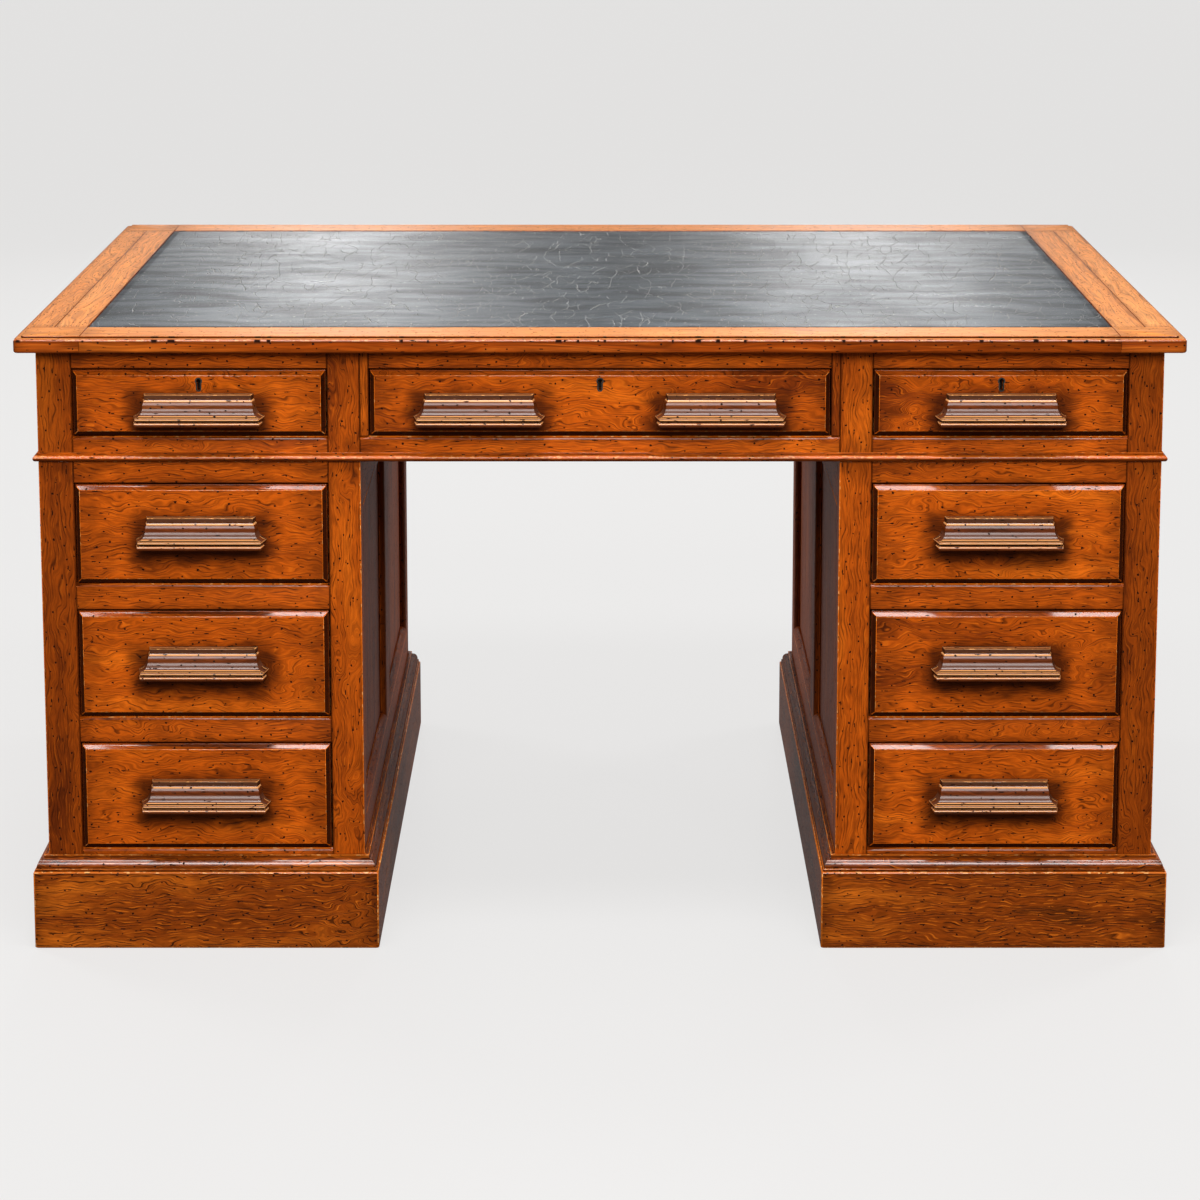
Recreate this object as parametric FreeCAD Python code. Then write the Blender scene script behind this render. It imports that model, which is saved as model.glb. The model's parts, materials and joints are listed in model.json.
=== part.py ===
"""Partners desk: a leather-lined top on a frieze of drawers, carried by two pedestals.

Millimetres, +Z up, origin on the floor under the middle of the top. The drawer front that faces
the sitter looks along -Y, and left and right are -X and +X.
"""
import FreeCAD
import Part
import os

V = FreeCAD.Vector
X_AXIS = V(1, 0, 0)
Y_AXIS = V(0, 1, 0)
Z_AXIS = V(0, 0, 1)

# Top
TOP_WIDTH = 1440.0
TOP_DEPTH = 1100.0
TOP_THICK = 20.0
TOP_OVERHANG = 24.0
TOP_BORDER = 81.0
TOP_CORNER_R = 6.5
TOP_NOSE_R = 3.0
TOP_STEP_IN = 9.0
TOP_STEP_H = 2.5
END_PLANK_W = 40.0
LEATHER_THICK = 1.6
LEATHER_SINK = 0.4
LEATHER_GAP = 0.9

# Heights of the front, from the floor up
PLINTH_H = 100.0
PLINTH_MOULD_H = 19.0
BOTTOM_RAIL_SHOW = 7.0
LOWER_OPEN_H = 138.0
MIDDLE_OPEN_H = 138.0
UPPER_OPEN_H = 128.0
DRAWER_RAIL_H = 33.0
PEDESTAL_RAIL_H = 28.0
BEAD_H = 11.0
FRIEZE_RAIL_SHOW = 20.0
FRIEZE_OPEN_H = 85.0
FRIEZE_TOP_RAIL_H = 23.0

# Carcass
PEDESTAL_W = 399.0
OUTER_POST_W = 43.0
INNER_POST_W = 40.0
POST_DEPTH = 43.0
POST_LIFT = 3.0
RAIL_T = 22.0
RAIL_TUCK = 20.0
FILLER_W = 11.0
END_BOARD_T = 18.0
END_SET_BACK = 3.0
PARTITION_T = 18.0
MIDDLE_BOARD_T = 15.0
SHELF_BOARD_T = 16.0
RUNNER_H = 20.0
RUNNER_BEAR = 14.0
GUIDE_H = 18.0

# Framed pedestal sides
SIDE_FRAME_T = 20.0
SIDE_TOP_RAIL_H = 64.0
SIDE_LOW_RAIL_SHOW = 34.0
MUNTIN_W = 60.0
PANEL_T = 8.0
PANEL_SINK = 9.0

# Mouldings: how far out and how high their members stand
PLINTH_OUT = 18.0
PLINTH_FILLET_OUT = 15.5
PLINTH_FILLET_H = 3.5
PLINTH_ROUND_OUT = 13.5
PLINTH_NECK_OUT = 5.5
PLINTH_NECK_H = 4.0
PLINTH_ROUND_SAG = 3.0
BEAD_ROUND_H = 7.6
BEAD_FOOT_OUT = 2.4
BEAD_FILLET_OUT = 1.6
PANEL_MOULD_W = 13.0
PANEL_MOULD_TOE = 2.0
PANEL_MOULD_HEAD = 4.0
PANEL_MOULD_SAG = 2.0

# Drawers
DRAWER_GAP = 1.8
DRAWER_TAIL = 18.5
FRONT_T = 20.0
FRONT_SET_BACK = 1.0
FRONT_LIP = 1.0
FRONT_BEVEL = 4.6
FRONT_PROUD = 4.8
FIELD_STEP = 0.9
SIDE_T = 10.0
SIDE_INSET = 0.3
SIDE_DROP = 6.0
RUN_GAP = 0.3
BACK_T = 10.0
BOTTOM_T = 6.0
BOTTOM_UP = 8.0

# Moulded wooden pulls
PULL_LENGTH = 150.0
PULL_HEIGHT = 38.0
PULL_CAP_OUT = 13.5
PULL_CAP_H = 5.3
PULL_NECK_OUT = 12.0
PULL_WAIST_OUT = 17.0
PULL_WAIST_UP = 21.5
PULL_LIP_OUT = 28.0
PULL_BEAD_H = 3.1
PULL_QUIRK_H = 1.9
PULL_QUIRK_DEEP = 1.8
PULL_FOOT_H = 5.6
PULL_ROUND_SAG = 1.6
PULL_HOLLOW_SAG = 2.2
PULL_BACK_UP = 9.0
PULL_END_SHARE = 0.82
PULL_SPLAY = 4.6
GROOVE_LENGTH = 120.0
GROOVE_BACK = 3.0
GROOVE_OUT = 15.0
GROOVE_UP = 18.0
CENTRE_PULL_SPREAD = 298.0
FRIEZE_PULL_RISE = -6.0
PEDESTAL_PULL_RISE = 4.5

# Locks of the frieze drawers
KEY_DOWN = 12.8
KEY_R = 2.9
KEY_SLOT_W = 3.6
KEY_SLOT_L = 11.6
KEY_RIM = 1.7
KEY_RIM_DEEP = 3.0
LOCK_W = 56.0
LOCK_H = 40.0
LOCK_T = 9.0
BOLT_W = 20.0
BOLT_T = 4.0
BOLT_H = 14.0
BOLT_SINK = 0.3
BOLT_GAP = 0.3
MORTISE_DEEP = 8.0

# Rear cupboard doors
DOOR_GAP = 1.5
HINGE_GAP = 2.0
DOOR_T = 20.0
DOOR_STILE_W = 55.0
DOOR_TOP_RAIL_H = 55.0
DOOR_LOW_RAIL_H = 65.0
KNOB_R = 16.0
KNOB_NECK_R = 8.0
KNOB_ROSE_R = 12.0
KNOB_ROSE_T = 4.0
KNOB_REACH = 30.0
KNOB_CAP_H = 9.0
HINGE_H = 60.0
HINGE_END = 70.0
LEAF_T = 0.8
LEAF_W = 17.0
KNUCKLE_R = 3.0
KNUCKLE_PROUD = 3.2
KNUCKLE_GAP = 0.3
PIN_R = 1.4
PIN_GAP = 0.05

# Levels
z_lower = PLINTH_H + PLINTH_MOULD_H + BOTTOM_RAIL_SHOW
z_middle = z_lower + LOWER_OPEN_H + DRAWER_RAIL_H
z_upper = z_middle + MIDDLE_OPEN_H + DRAWER_RAIL_H
z_pedestal_rail = z_upper + UPPER_OPEN_H
z_pedestal_top = z_pedestal_rail + PEDESTAL_RAIL_H
z_frieze = z_pedestal_top + BEAD_H + FRIEZE_RAIL_SHOW
z_frieze_rail = z_frieze + FRIEZE_OPEN_H
z_top_under = z_frieze_rail + FRIEZE_TOP_RAIL_H
z_top = z_top_under + TOP_THICK
z_rail_foot = PLINTH_H - RAIL_TUCK
z_side_low = z_lower + SIDE_LOW_RAIL_SHOW
z_side_high = z_pedestal_top - SIDE_TOP_RAIL_H

# Plan, as half sizes about the middle
half_w = TOP_WIDTH / 2 - TOP_OVERHANG
half_d = TOP_DEPTH / 2 - TOP_OVERHANG
x_inner = half_w - PEDESTAL_W
x_stile = x_inner + INNER_POST_W
x_post = half_w - OUTER_POST_W
x_centre = x_inner - FILLER_W
x_partition = (x_inner + x_stile) / 2
x_end = half_w - END_SET_BACK - END_BOARD_T
x_side_in = x_inner + SIDE_FRAME_T
x_side_out = half_w - SIDE_FRAME_T
y_rail = half_d - RAIL_T
y_post = half_d - POST_DEPTH
x_drawer = (x_stile + x_post) / 2
side_open_w = x_post - x_stile
centre_open_w = 2 * x_centre

# A drawer's raised field and its far end, measured in from the carcass face
y_field = -FRONT_PROUD - FIELD_STEP
drawer_length = half_d - MIDDLE_BOARD_T / 2 - DRAWER_TAIL


def board(x0, x1, y0, y1, z0, z1):
    """Square-edged board between two corners."""
    return Part.makeBox(x1 - x0, y1 - y0, z1 - z0, V(x0, y0, z0))


def half_turned(shape):
    """Copy on the other long side: a half turn about the vertical through the middle."""
    copy = shape.copy()
    copy.rotate(V(0, 0, 0), Z_AXIS, 180)
    return copy


def front_and_rear(shapes):
    """The shapes of the front with their half-turned copies at the rear."""
    return shapes + [half_turned(shape) for shape in shapes]


def left_and_right(shapes):
    """The shapes of the right with their mirror images at the left."""
    return shapes + [shape.mirror(V(0, 0, 0), X_AXIS) for shape in shapes]


def placed(shape, origin, outward, up):
    """Copy of a local shape at origin, with its Y turned to outward and its Z to up."""
    turn = FreeCAD.Rotation(outward.cross(up), outward, up, "XYZ")
    return shape.transformed(FreeCAD.Placement(origin, turn).toMatrix(), True)


def bulge(start, end, sag):
    """Point on an arc between two points, sag to the left of the way from start to end."""
    run = end[0] - start[0]
    rise = end[1] - start[1]
    length = (run * run + rise * rise) ** 0.5
    middle = ((start[0] + end[0]) / 2, (start[1] + end[1]) / 2)
    return (middle[0] - rise / length * sag, middle[1] + run / length * sag)


def outline(steps, point):
    """Closed flat face: a step is a corner, or a pair of a point on an arc and the arc's end."""
    ends = [step[1] if isinstance(step[0], tuple) else step for step in steps]
    edges = []
    for start, step, end in zip(ends[-1:] + ends[:-1], steps, ends):
        if isinstance(step[0], tuple):
            edges.append(Part.Arc(point(start), point(step[0]), point(end)).toShape())
        else:
            edges.append(Part.LineSegment(point(start), point(end)).toShape())
    return Part.Face(Part.Wire(edges))


def section(steps):
    """Moulding section in the YZ plane: first number out along Y, second up along Z."""
    return outline(steps, lambda step: V(0, step[0], step[1]))


def moulding_run(length, profile, flare):
    """One length along X, mitred so that its ends grow (flare 1) or shrink (flare -1) with Y."""
    reach = profile.BoundBox.YMax
    half = length / 2
    blank = profile.copy()
    blank.translate(V(-half - reach, 0, 0))
    blank = blank.extrude(V(2 * (half + reach), 0, 0))
    far = half + flare * reach
    corners = [V(-half, 0, 0), V(half, 0, 0), V(far, reach, 0), V(-far, reach, 0)]
    mitre = Part.Face(Part.makePolygon(corners + corners[:1]))
    return blank.common(mitre.extrude(V(0, 0, profile.BoundBox.ZMax)))


def moulding_frame(centre, u, v, half_u, half_v, normal, profile, flare):
    """Four mitred lengths round a rectangle, outside it (flare 1) or inside it (flare -1)."""
    runs = []
    for side, reach, span in ((u, half_u, half_v), (v, half_v, half_u)):
        run = moulding_run(2 * span, profile, flare)
        for sign in (1, -1):
            runs.append(placed(run, centre + side * (sign * reach), side * (sign * flare), normal))
    return runs


def panel_moulding(centre, u, v, half_u, half_v, normal):
    """Mitred ovolo planted round a sunk panel; centre lies on the panel's face."""
    head = (PANEL_MOULD_HEAD, PANEL_SINK)
    toe = (PANEL_MOULD_W, PANEL_MOULD_TOE)
    profile = section([(0, 0), (PANEL_MOULD_W, 0), toe, (bulge(toe, head, -PANEL_MOULD_SAG), head),
                       (0, PANEL_SINK)])
    return moulding_frame(centre, u, v, half_u, half_v, normal, profile, -1)


def top_slab():
    """The whole top with its nosed edge and the low step round its face."""
    nose_h = TOP_THICK - TOP_STEP_H
    half_x = TOP_WIDTH / 2
    half_y = TOP_DEPTH / 2
    slab = board(-half_x, half_x, -half_y, half_y, z_top_under, z_top_under + nose_h)
    upright = [edge for edge in slab.Edges if edge.BoundBox.ZLength > nose_h / 2]
    slab = slab.makeFillet(TOP_CORNER_R, upright)
    rims = [edge for edge in slab.Edges if edge.BoundBox.ZLength < nose_h / 2]
    slab = slab.makeFillet(TOP_NOSE_R, rims)
    face_x = half_x - TOP_STEP_IN
    face_y = half_y - TOP_STEP_IN
    face = board(-face_x, face_x, -face_y, face_y, z_top_under + nose_h - TOP_NOSE_R, z_top)
    corners = [edge for edge in face.Edges if edge.BoundBox.ZLength > TOP_STEP_H]
    return slab.fuse(face.makeFillet(TOP_CORNER_R - TOP_NOSE_R, corners)).removeSplitter()


def top_border():
    """Border boards cut out of the slab: two long boards, paired end planks, corner squares."""
    slab = top_slab()
    half_x = TOP_WIDTH / 2
    half_y = TOP_DEPTH / 2
    in_x = half_x - TOP_BORDER
    in_y = half_y - TOP_BORDER
    plank_x = half_x - END_PLANK_W
    front = [board(-in_x, in_x, -half_y, -in_y, z_top_under, z_top)]
    corners = [board(in_x, half_x, -half_y, -in_y, z_top_under, z_top)]
    ends = [board(in_x, plank_x, -in_y, in_y, z_top_under, z_top),
            board(plank_x, half_x, -in_y, in_y, z_top_under, z_top)]
    cells = front_and_rear(front + left_and_right(corners)) + left_and_right(ends)
    return [slab.common(cell) for cell in cells]


def top_core():
    """Board under the leather, flush with the border's underside."""
    in_x = TOP_WIDTH / 2 - TOP_BORDER
    in_y = TOP_DEPTH / 2 - TOP_BORDER
    return [board(-in_x, in_x, -in_y, in_y, z_top_under, z_top - LEATHER_THICK - LEATHER_SINK)]


def leather_inset():
    """Leather sheet glued on the core, just below the border and a hair clear of it."""
    in_x = TOP_WIDTH / 2 - TOP_BORDER - LEATHER_GAP
    in_y = TOP_DEPTH / 2 - TOP_BORDER - LEATHER_GAP
    z_face = z_top - LEATHER_SINK
    return [board(-in_x, in_x, -in_y, in_y, z_face - LEATHER_THICK, z_face)]


def frieze_posts():
    """Corner posts, drawer stiles and narrow fillers, all upright."""
    right = [board(x_post, half_w, -half_d, -y_post, z_pedestal_top, z_top_under),
             board(x_inner, x_stile, -half_d, -y_rail, z_pedestal_top, z_top_under),
             board(x_centre, x_inner, -half_d, -y_rail, z_frieze, z_top_under)]
    return front_and_rear(left_and_right(right))


def bolt_mortise(x):
    """Cut in the rail above a locked drawer for the bolt's end."""
    wide = BOLT_W / 2 + BOLT_GAP
    y_bolt = -half_d + FRONT_T - LOCK_T / 2
    deep = BOLT_T / 2 + BOLT_GAP
    return board(x - wide, x + wide, y_bolt - deep, y_bolt + deep, z_frieze_rail, z_frieze_rail + MORTISE_DEEP)


def frieze_rails():
    """Rails above and below the frieze drawers, and the boards that close the ends."""
    side_top = board(x_stile, x_post, -half_d, -y_rail, z_frieze_rail, z_top_under)
    side_low = board(x_stile, x_post, -half_d, -y_rail, z_pedestal_top, z_frieze)
    centre_top = board(-x_centre, x_centre, -half_d, -y_rail, z_frieze_rail, z_top_under)
    centre_low = board(-x_inner, x_inner, -half_d, -y_rail, z_pedestal_top, z_frieze)
    front_top = left_and_right([side_top.cut(bolt_mortise(x_drawer))]) + [centre_top.cut(bolt_mortise(0))]
    rear_top = [half_turned(rail) for rail in left_and_right([side_top]) + [centre_top]]
    low = front_and_rear(left_and_right([side_low]) + [centre_low])
    end = board(x_end, half_w - END_SET_BACK, -y_post, y_post, z_pedestal_top, z_top_under)
    return front_top + rear_top + low + left_and_right([end])


def frieze_interior():
    """Lengthwise board, cross partitions, and each drawer's runners with their guides."""
    y_middle = MIDDLE_BOARD_T / 2
    part_in = x_partition - PARTITION_T / 2
    part_out = x_partition + PARTITION_T / 2
    right = [board(part_in, part_out, -y_rail, -y_middle, z_pedestal_top, z_top_under)]
    bearings = ((x_post, x_post - RUNNER_BEAR, x_end), (x_stile, x_stile + RUNNER_BEAR, part_out),
                (x_centre, x_centre - RUNNER_BEAR, part_in))
    for edge, bearing, wall in bearings:
        low, high = sorted((bearing, wall))
        right.append(board(low, high, -y_post, -y_middle, z_frieze - RUNNER_H, z_frieze))
        low, high = sorted((edge, wall))
        right.append(board(low, high, -y_post, -y_middle, z_frieze, z_frieze + GUIDE_H))
    spine = board(-x_end, x_end, -y_middle, y_middle, z_pedestal_top, z_top_under)
    return [spine] + front_and_rear(left_and_right(right))


def waist_bead():
    """Half-round bead under a fillet, mitred round the foot of the frieze."""
    radius = BEAD_ROUND_H / 2
    crown = (BEAD_FOOT_OUT + radius, radius)
    profile = section([(0, 0), (BEAD_FOOT_OUT, 0), (crown, (BEAD_FOOT_OUT, BEAD_ROUND_H)),
                       (BEAD_FILLET_OUT, BEAD_ROUND_H), (BEAD_FILLET_OUT, BEAD_H), (0, BEAD_H)])
    return moulding_frame(V(0, 0, z_pedestal_top), X_AXIS, Y_AXIS, half_w, half_d, Z_AXIS, profile, 1)


def pedestal_posts():
    """Corner posts of the pedestals and the muntins between their side panels."""
    right = [board(x_post, half_w, -half_d, -y_post, POST_LIFT, z_pedestal_top),
             board(x_inner, x_stile, -half_d, -y_post, POST_LIFT, z_pedestal_top)]
    muntins = [board(x0, x0 + SIDE_FRAME_T, -MUNTIN_W / 2, MUNTIN_W / 2, z_side_low, z_side_high)
               for x0 in (x_inner, x_side_out)]
    return front_and_rear(left_and_right(right)) + left_and_right(muntins)


def pedestal_rails():
    """Rails of the drawer front, of the cupboard opening and of the framed sides."""
    long_side = [(z_rail_foot, z_lower), (z_pedestal_rail, z_pedestal_top)]
    between = [(z_middle - DRAWER_RAIL_H, z_middle), (z_upper - DRAWER_RAIL_H, z_upper)]
    ends = [board(x_stile, x_post, -half_d, -y_rail, z0, z1) for z0, z1 in long_side]
    drawer_rails = [board(x_stile, x_post, -half_d, -y_rail, z0, z1) for z0, z1 in between]
    sides = [board(x0, x0 + SIDE_FRAME_T, -y_post, y_post, z0, z1)
             for x0 in (x_inner, x_side_out)
             for z0, z1 in ((z_rail_foot, z_side_low), (z_side_high, z_pedestal_top))]
    return front_and_rear(left_and_right(ends)) + left_and_right(drawer_rails + sides)


def side_panels():
    """Sunk panels of the framed sides with the mouldings planted round them."""
    half_y = (y_post - MUNTIN_W / 2) / 2
    half_z = (z_side_high - z_side_low) / 2
    z_mid = (z_side_high + z_side_low) / 2
    right = []
    for x_face, normal in ((half_w - PANEL_SINK, X_AXIS), (x_inner + PANEL_SINK, -X_AXIS)):
        x_back = x_face - normal.x * PANEL_T
        x0, x1 = sorted((x_face, x_back))
        for y_mid in (-MUNTIN_W / 2 - half_y, MUNTIN_W / 2 + half_y):
            right.append(board(x0, x1, y_mid - half_y, y_mid + half_y, z_side_low, z_side_high))
            right += panel_moulding(V(x_face, y_mid, z_mid), Y_AXIS, Z_AXIS, half_y, half_z, normal)
    return left_and_right(right)


def pedestal_interiors():
    """Top and bottom boards, the board behind the drawers, runners and guides."""
    y_middle = MIDDLE_BOARD_T / 2
    z_ceiling = z_pedestal_top - SHELF_BOARD_T
    right = [board(x_side_in, x_side_out, -y_post, y_post, z_lower - SHELF_BOARD_T, z_lower),
             board(x_side_in, x_side_out, -y_post, y_post, z_ceiling, z_pedestal_top),
             board(x_side_in, x_side_out, -y_middle, y_middle, z_lower, z_ceiling)]
    for z_run in (z_lower, z_middle, z_upper):
        right.append(board(x_side_in, x_stile, -y_post, -y_middle, z_run, z_run + GUIDE_H))
        right.append(board(x_post, x_side_out, -y_post, -y_middle, z_run, z_run + GUIDE_H))
    for z_run in (z_middle, z_upper):
        z0 = z_run - RUNNER_H
        right.append(board(x_side_in, x_stile + RUNNER_BEAR, -y_post, -y_middle, z0, z_run))
        right.append(board(x_post - RUNNER_BEAR, x_side_out, -y_post, -y_middle, z0, z_run))
    return left_and_right(right)


def plinth_boards():
    """Four boards round each pedestal's foot, mitred at the corners."""
    profile = section([(0, 0), (PLINTH_OUT, 0), (PLINTH_OUT, PLINTH_H), (0, PLINTH_H)])
    centre = V((x_inner + half_w) / 2, 0, 0)
    return left_and_right(moulding_frame(centre, X_AXIS, Y_AXIS, PEDESTAL_W / 2, half_d, Z_AXIS, profile, 1))


def plinth_mouldings():
    """Fillet, round and neck that step from the plinth back to the pedestal."""
    low = (PLINTH_ROUND_OUT, PLINTH_FILLET_H)
    high = (PLINTH_NECK_OUT, PLINTH_MOULD_H - PLINTH_NECK_H)
    profile = section([(0, 0), (PLINTH_FILLET_OUT, 0), (PLINTH_FILLET_OUT, PLINTH_FILLET_H), low,
                       (bulge(low, high, -PLINTH_ROUND_SAG), high),
                       (PLINTH_NECK_OUT, PLINTH_MOULD_H), (0, PLINTH_MOULD_H)])
    centre = V((x_inner + half_w) / 2, 0, PLINTH_H)
    return left_and_right(moulding_frame(centre, X_AXIS, Y_AXIS, PEDESTAL_W / 2, half_d, Z_AXIS, profile, 1))


def keyhole(open_h, rim, deep):
    """Round eye with a round-ended slot below it, grown by rim and sunk into the field of a drawer's front."""
    z_eye = open_h / 2 - DRAWER_GAP - KEY_DOWN
    half_x = KEY_SLOT_W / 2 + rim
    eye = Part.makeCylinder(KEY_R + rim, deep, V(0, y_field, z_eye), Y_AXIS)
    z_foot = z_eye - KEY_SLOT_L + KEY_SLOT_W / 2
    slot = board(-half_x, half_x, y_field, y_field + deep, z_foot, z_eye)
    foot = Part.makeCylinder(half_x, deep, V(0, y_field, z_foot), Y_AXIS)
    return eye.fuse([slot, foot]).removeSplitter()


def lock_pocket(open_h):
    """Space let into the back of the front for the lock, open at the front's upper edge."""
    z_edge = open_h / 2 - DRAWER_GAP
    return board(-LOCK_W / 2, LOCK_W / 2, FRONT_T - LOCK_T, FRONT_T, z_edge - LOCK_H, z_edge)


def drawer_front(open_w, open_h, locked):
    """Front board with a set-back lip, a bevelled edge and a raised field."""
    half_x = open_w / 2 - DRAWER_GAP
    half_z = open_h / 2 - DRAWER_GAP
    front = board(-half_x, half_x, FRONT_SET_BACK, FRONT_T, -half_z, half_z)
    lip_x = half_x - FRONT_LIP
    lip_z = half_z - FRONT_LIP
    bevelled = board(-lip_x, lip_x, -FRONT_PROUD, FRONT_SET_BACK, -lip_z, lip_z)
    rims = [edge for edge in bevelled.Edges if edge.BoundBox.YMax < FRONT_SET_BACK / 2]
    bevelled = bevelled.makeChamfer(FRONT_BEVEL, rims)
    field_x = lip_x - FRONT_BEVEL
    field_z = lip_z - FRONT_BEVEL
    field = board(-field_x, field_x, y_field, -FRONT_PROUD, -field_z, field_z)
    front = front.fuse([bevelled, field]).removeSplitter()
    if locked:
        seat = keyhole(open_h, KEY_RIM, KEY_RIM_DEEP)
        front = front.cut([seat, keyhole(open_h, 0, FRONT_T - y_field), lock_pocket(open_h)])
    return [front]


def drawer_box(open_w, open_h):
    """Two sides, a back between them and a bottom a little above their lower edges."""
    outer = open_w / 2 - DRAWER_GAP - SIDE_INSET
    inner = outer - SIDE_T
    z_low = -open_h / 2 + RUN_GAP
    z_high = open_h / 2 - SIDE_DROP
    z_floor = z_low + BOTTOM_UP
    sides = [board(x, x + SIDE_T, FRONT_T, drawer_length, z_low, z_high) for x in (-outer, inner)]
    back = board(-inner, inner, drawer_length - BACK_T, drawer_length, z_floor, z_high)
    bottom = board(-inner, inner, FRONT_T, drawer_length - BACK_T, z_floor, z_floor + BOTTOM_T)
    return sides + [back, bottom]


def pull_steps(share, start):
    """Outline of the pull, measured out from start with its projections multiplied by share."""
    lip_up = PULL_FOOT_H + PULL_QUIRK_H + PULL_BEAD_H
    quirk_up = PULL_FOOT_H + PULL_QUIRK_H
    cap_up = PULL_HEIGHT - PULL_CAP_H
    lip = PULL_LIP_OUT
    quirk = lip - PULL_QUIRK_DEEP
    waist = (PULL_WAIST_OUT, PULL_WAIST_UP)
    steps = [(0, 0), (lip, 0), ((lip + PULL_FOOT_H / 2, PULL_FOOT_H / 2), (lip, PULL_FOOT_H)),
             (quirk, PULL_FOOT_H), (quirk, quirk_up), (lip, quirk_up),
             ((lip + PULL_BEAD_H / 2, quirk_up + PULL_BEAD_H / 2), (lip, lip_up)),
             (bulge((lip, lip_up), waist, PULL_HOLLOW_SAG), waist),
             (bulge(waist, (PULL_NECK_OUT, cap_up), -PULL_ROUND_SAG), (PULL_NECK_OUT, cap_up)),
             (PULL_CAP_OUT, cap_up), (PULL_CAP_OUT, PULL_HEIGHT), (0, PULL_HEIGHT)]

    def shifted(point):
        return (start + point[0] * share if point[0] else 0, point[1])

    return [tuple(shifted(p) for p in step) if isinstance(step[0], tuple) else shifted(step)
            for step in steps]


def pull():
    """Moulded pull on a face at y = 0, its section returned round both splayed ends.

    Its middle lies at z = 0, its back rises below and a finger groove is cut up from underneath.
    """
    reach = PULL_LIP_OUT + PULL_FOOT_H
    end_start = PULL_LENGTH / 2 - PULL_LIP_OUT * PULL_END_SHARE + PULL_SPLAY
    across = outline(pull_steps(1.0, 0.0), lambda p: V(0, -p[0], p[1]))
    half = across.extrude(V(PULL_LENGTH, 0, 0))
    end = outline(pull_steps(PULL_END_SHARE, end_start), lambda p: V(p[0], 0, p[1]))
    half = half.common(end.extrude(V(-PULL_SPLAY * reach / PULL_LIP_OUT, -reach, 0)))
    wedge = outline([(0, 0), (PULL_LIP_OUT, 0), (0, PULL_BACK_UP)], lambda p: V(0, -p[0], p[1]))
    half = half.cut(wedge.extrude(V(PULL_LENGTH, 0, 0)))
    whole = half.fuse(half.mirror(V(0, 0, 0), X_AXIS)).removeSplitter()
    groove = board(-GROOVE_LENGTH / 2, GROOVE_LENGTH / 2, -GROOVE_OUT, -GROOVE_BACK, 0, GROOVE_UP)
    whole = whole.cut(groove)
    whole.translate(V(0, 0, -PULL_HEIGHT / 2))
    return whole


def pulls(places, rise):
    """Pulls on a drawer's field at the given places along X."""
    one = pull()
    copies = []
    for x in places:
        copy = one.copy()
        copy.translate(V(x, y_field, rise))
        copies.append(copy)
    return copies


def bolt_space(open_h, gap):
    """Block of the bolt at rest, grown by gap on its sides and foot."""
    z_edge = open_h / 2 - DRAWER_GAP
    y_bolt = FRONT_T - LOCK_T / 2
    wide = BOLT_W / 2 + gap
    deep = BOLT_T / 2 + gap
    z_head = z_edge if gap else z_edge - BOLT_SINK
    return board(-wide, wide, y_bolt - deep, y_bolt + deep, z_edge - BOLT_SINK - BOLT_H - gap, z_head)


def drawer_lock(open_h):
    """Lock case with the bolt's slot in it, and the thin rim that lines the keyhole."""
    case = lock_pocket(open_h).cut(bolt_space(open_h, BOLT_GAP))
    rim = keyhole(open_h, KEY_RIM, KEY_RIM_DEEP).cut(keyhole(open_h, 0, KEY_RIM_DEEP))
    return [case, rim]


def door():
    """Right-hand rear door: stiles, rails, sunk panel, mouldings and a turned knob."""
    x0 = x_stile + DOOR_GAP
    x1 = x_post - HINGE_GAP
    z0 = z_lower + DOOR_GAP
    z1 = z_pedestal_rail - DOOR_GAP
    y0 = half_d - DOOR_T
    in0 = x0 + DOOR_STILE_W
    in1 = x1 - DOOR_STILE_W
    low = z0 + DOOR_LOW_RAIL_H
    high = z1 - DOOR_TOP_RAIL_H
    y_face = half_d - PANEL_SINK
    frame = [board(x0, in0, y0, half_d, z0, z1), board(in1, x1, y0, half_d, z0, z1),
             board(in0, in1, y0, half_d, z0, low), board(in0, in1, y0, half_d, high, z1)]
    panel = board(in0, in1, y_face - PANEL_T, y_face, low, high)
    centre = V((in0 + in1) / 2, y_face, (low + high) / 2)
    beads = panel_moulding(centre, X_AXIS, Z_AXIS, (in1 - in0) / 2, (high - low) / 2, Y_AXIS)
    return frame + [panel] + beads + [knob(V(x0 + DOOR_STILE_W / 2, half_d, (z0 + z1) / 2))]


def knob(seat):
    """Turned knob on a seat, its axis along Y: a rose, a neck and a head with a round cap."""
    rim = KNOB_REACH - KNOB_CAP_H
    cap_r = (KNOB_R ** 2 + KNOB_CAP_H ** 2) / (2 * KNOB_CAP_H)
    chord = (KNOB_R ** 2 + KNOB_CAP_H ** 2) ** 0.5
    cap_sag = cap_r - (cap_r ** 2 - (chord / 2) ** 2) ** 0.5
    half = outline([(0, 0), (KNOB_ROSE_R, 0), (KNOB_ROSE_R, KNOB_ROSE_T), (KNOB_NECK_R, KNOB_ROSE_T),
                    ((KNOB_NECK_R, (KNOB_ROSE_T + rim) / 2), (KNOB_R, rim)),
                    (bulge((KNOB_R, rim), (0, KNOB_REACH), -cap_sag), (0, KNOB_REACH))],
                   lambda p: V(p[0], p[1], 0))
    turned = half.revolve(V(0, 0, 0), Y_AXIS, 360)
    turned.translate(seat)
    return turned


def hinge_heights():
    """Foot of each hinge on a door."""
    return (z_lower + HINGE_END, z_pedestal_rail - HINGE_END - HINGE_H)


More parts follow.
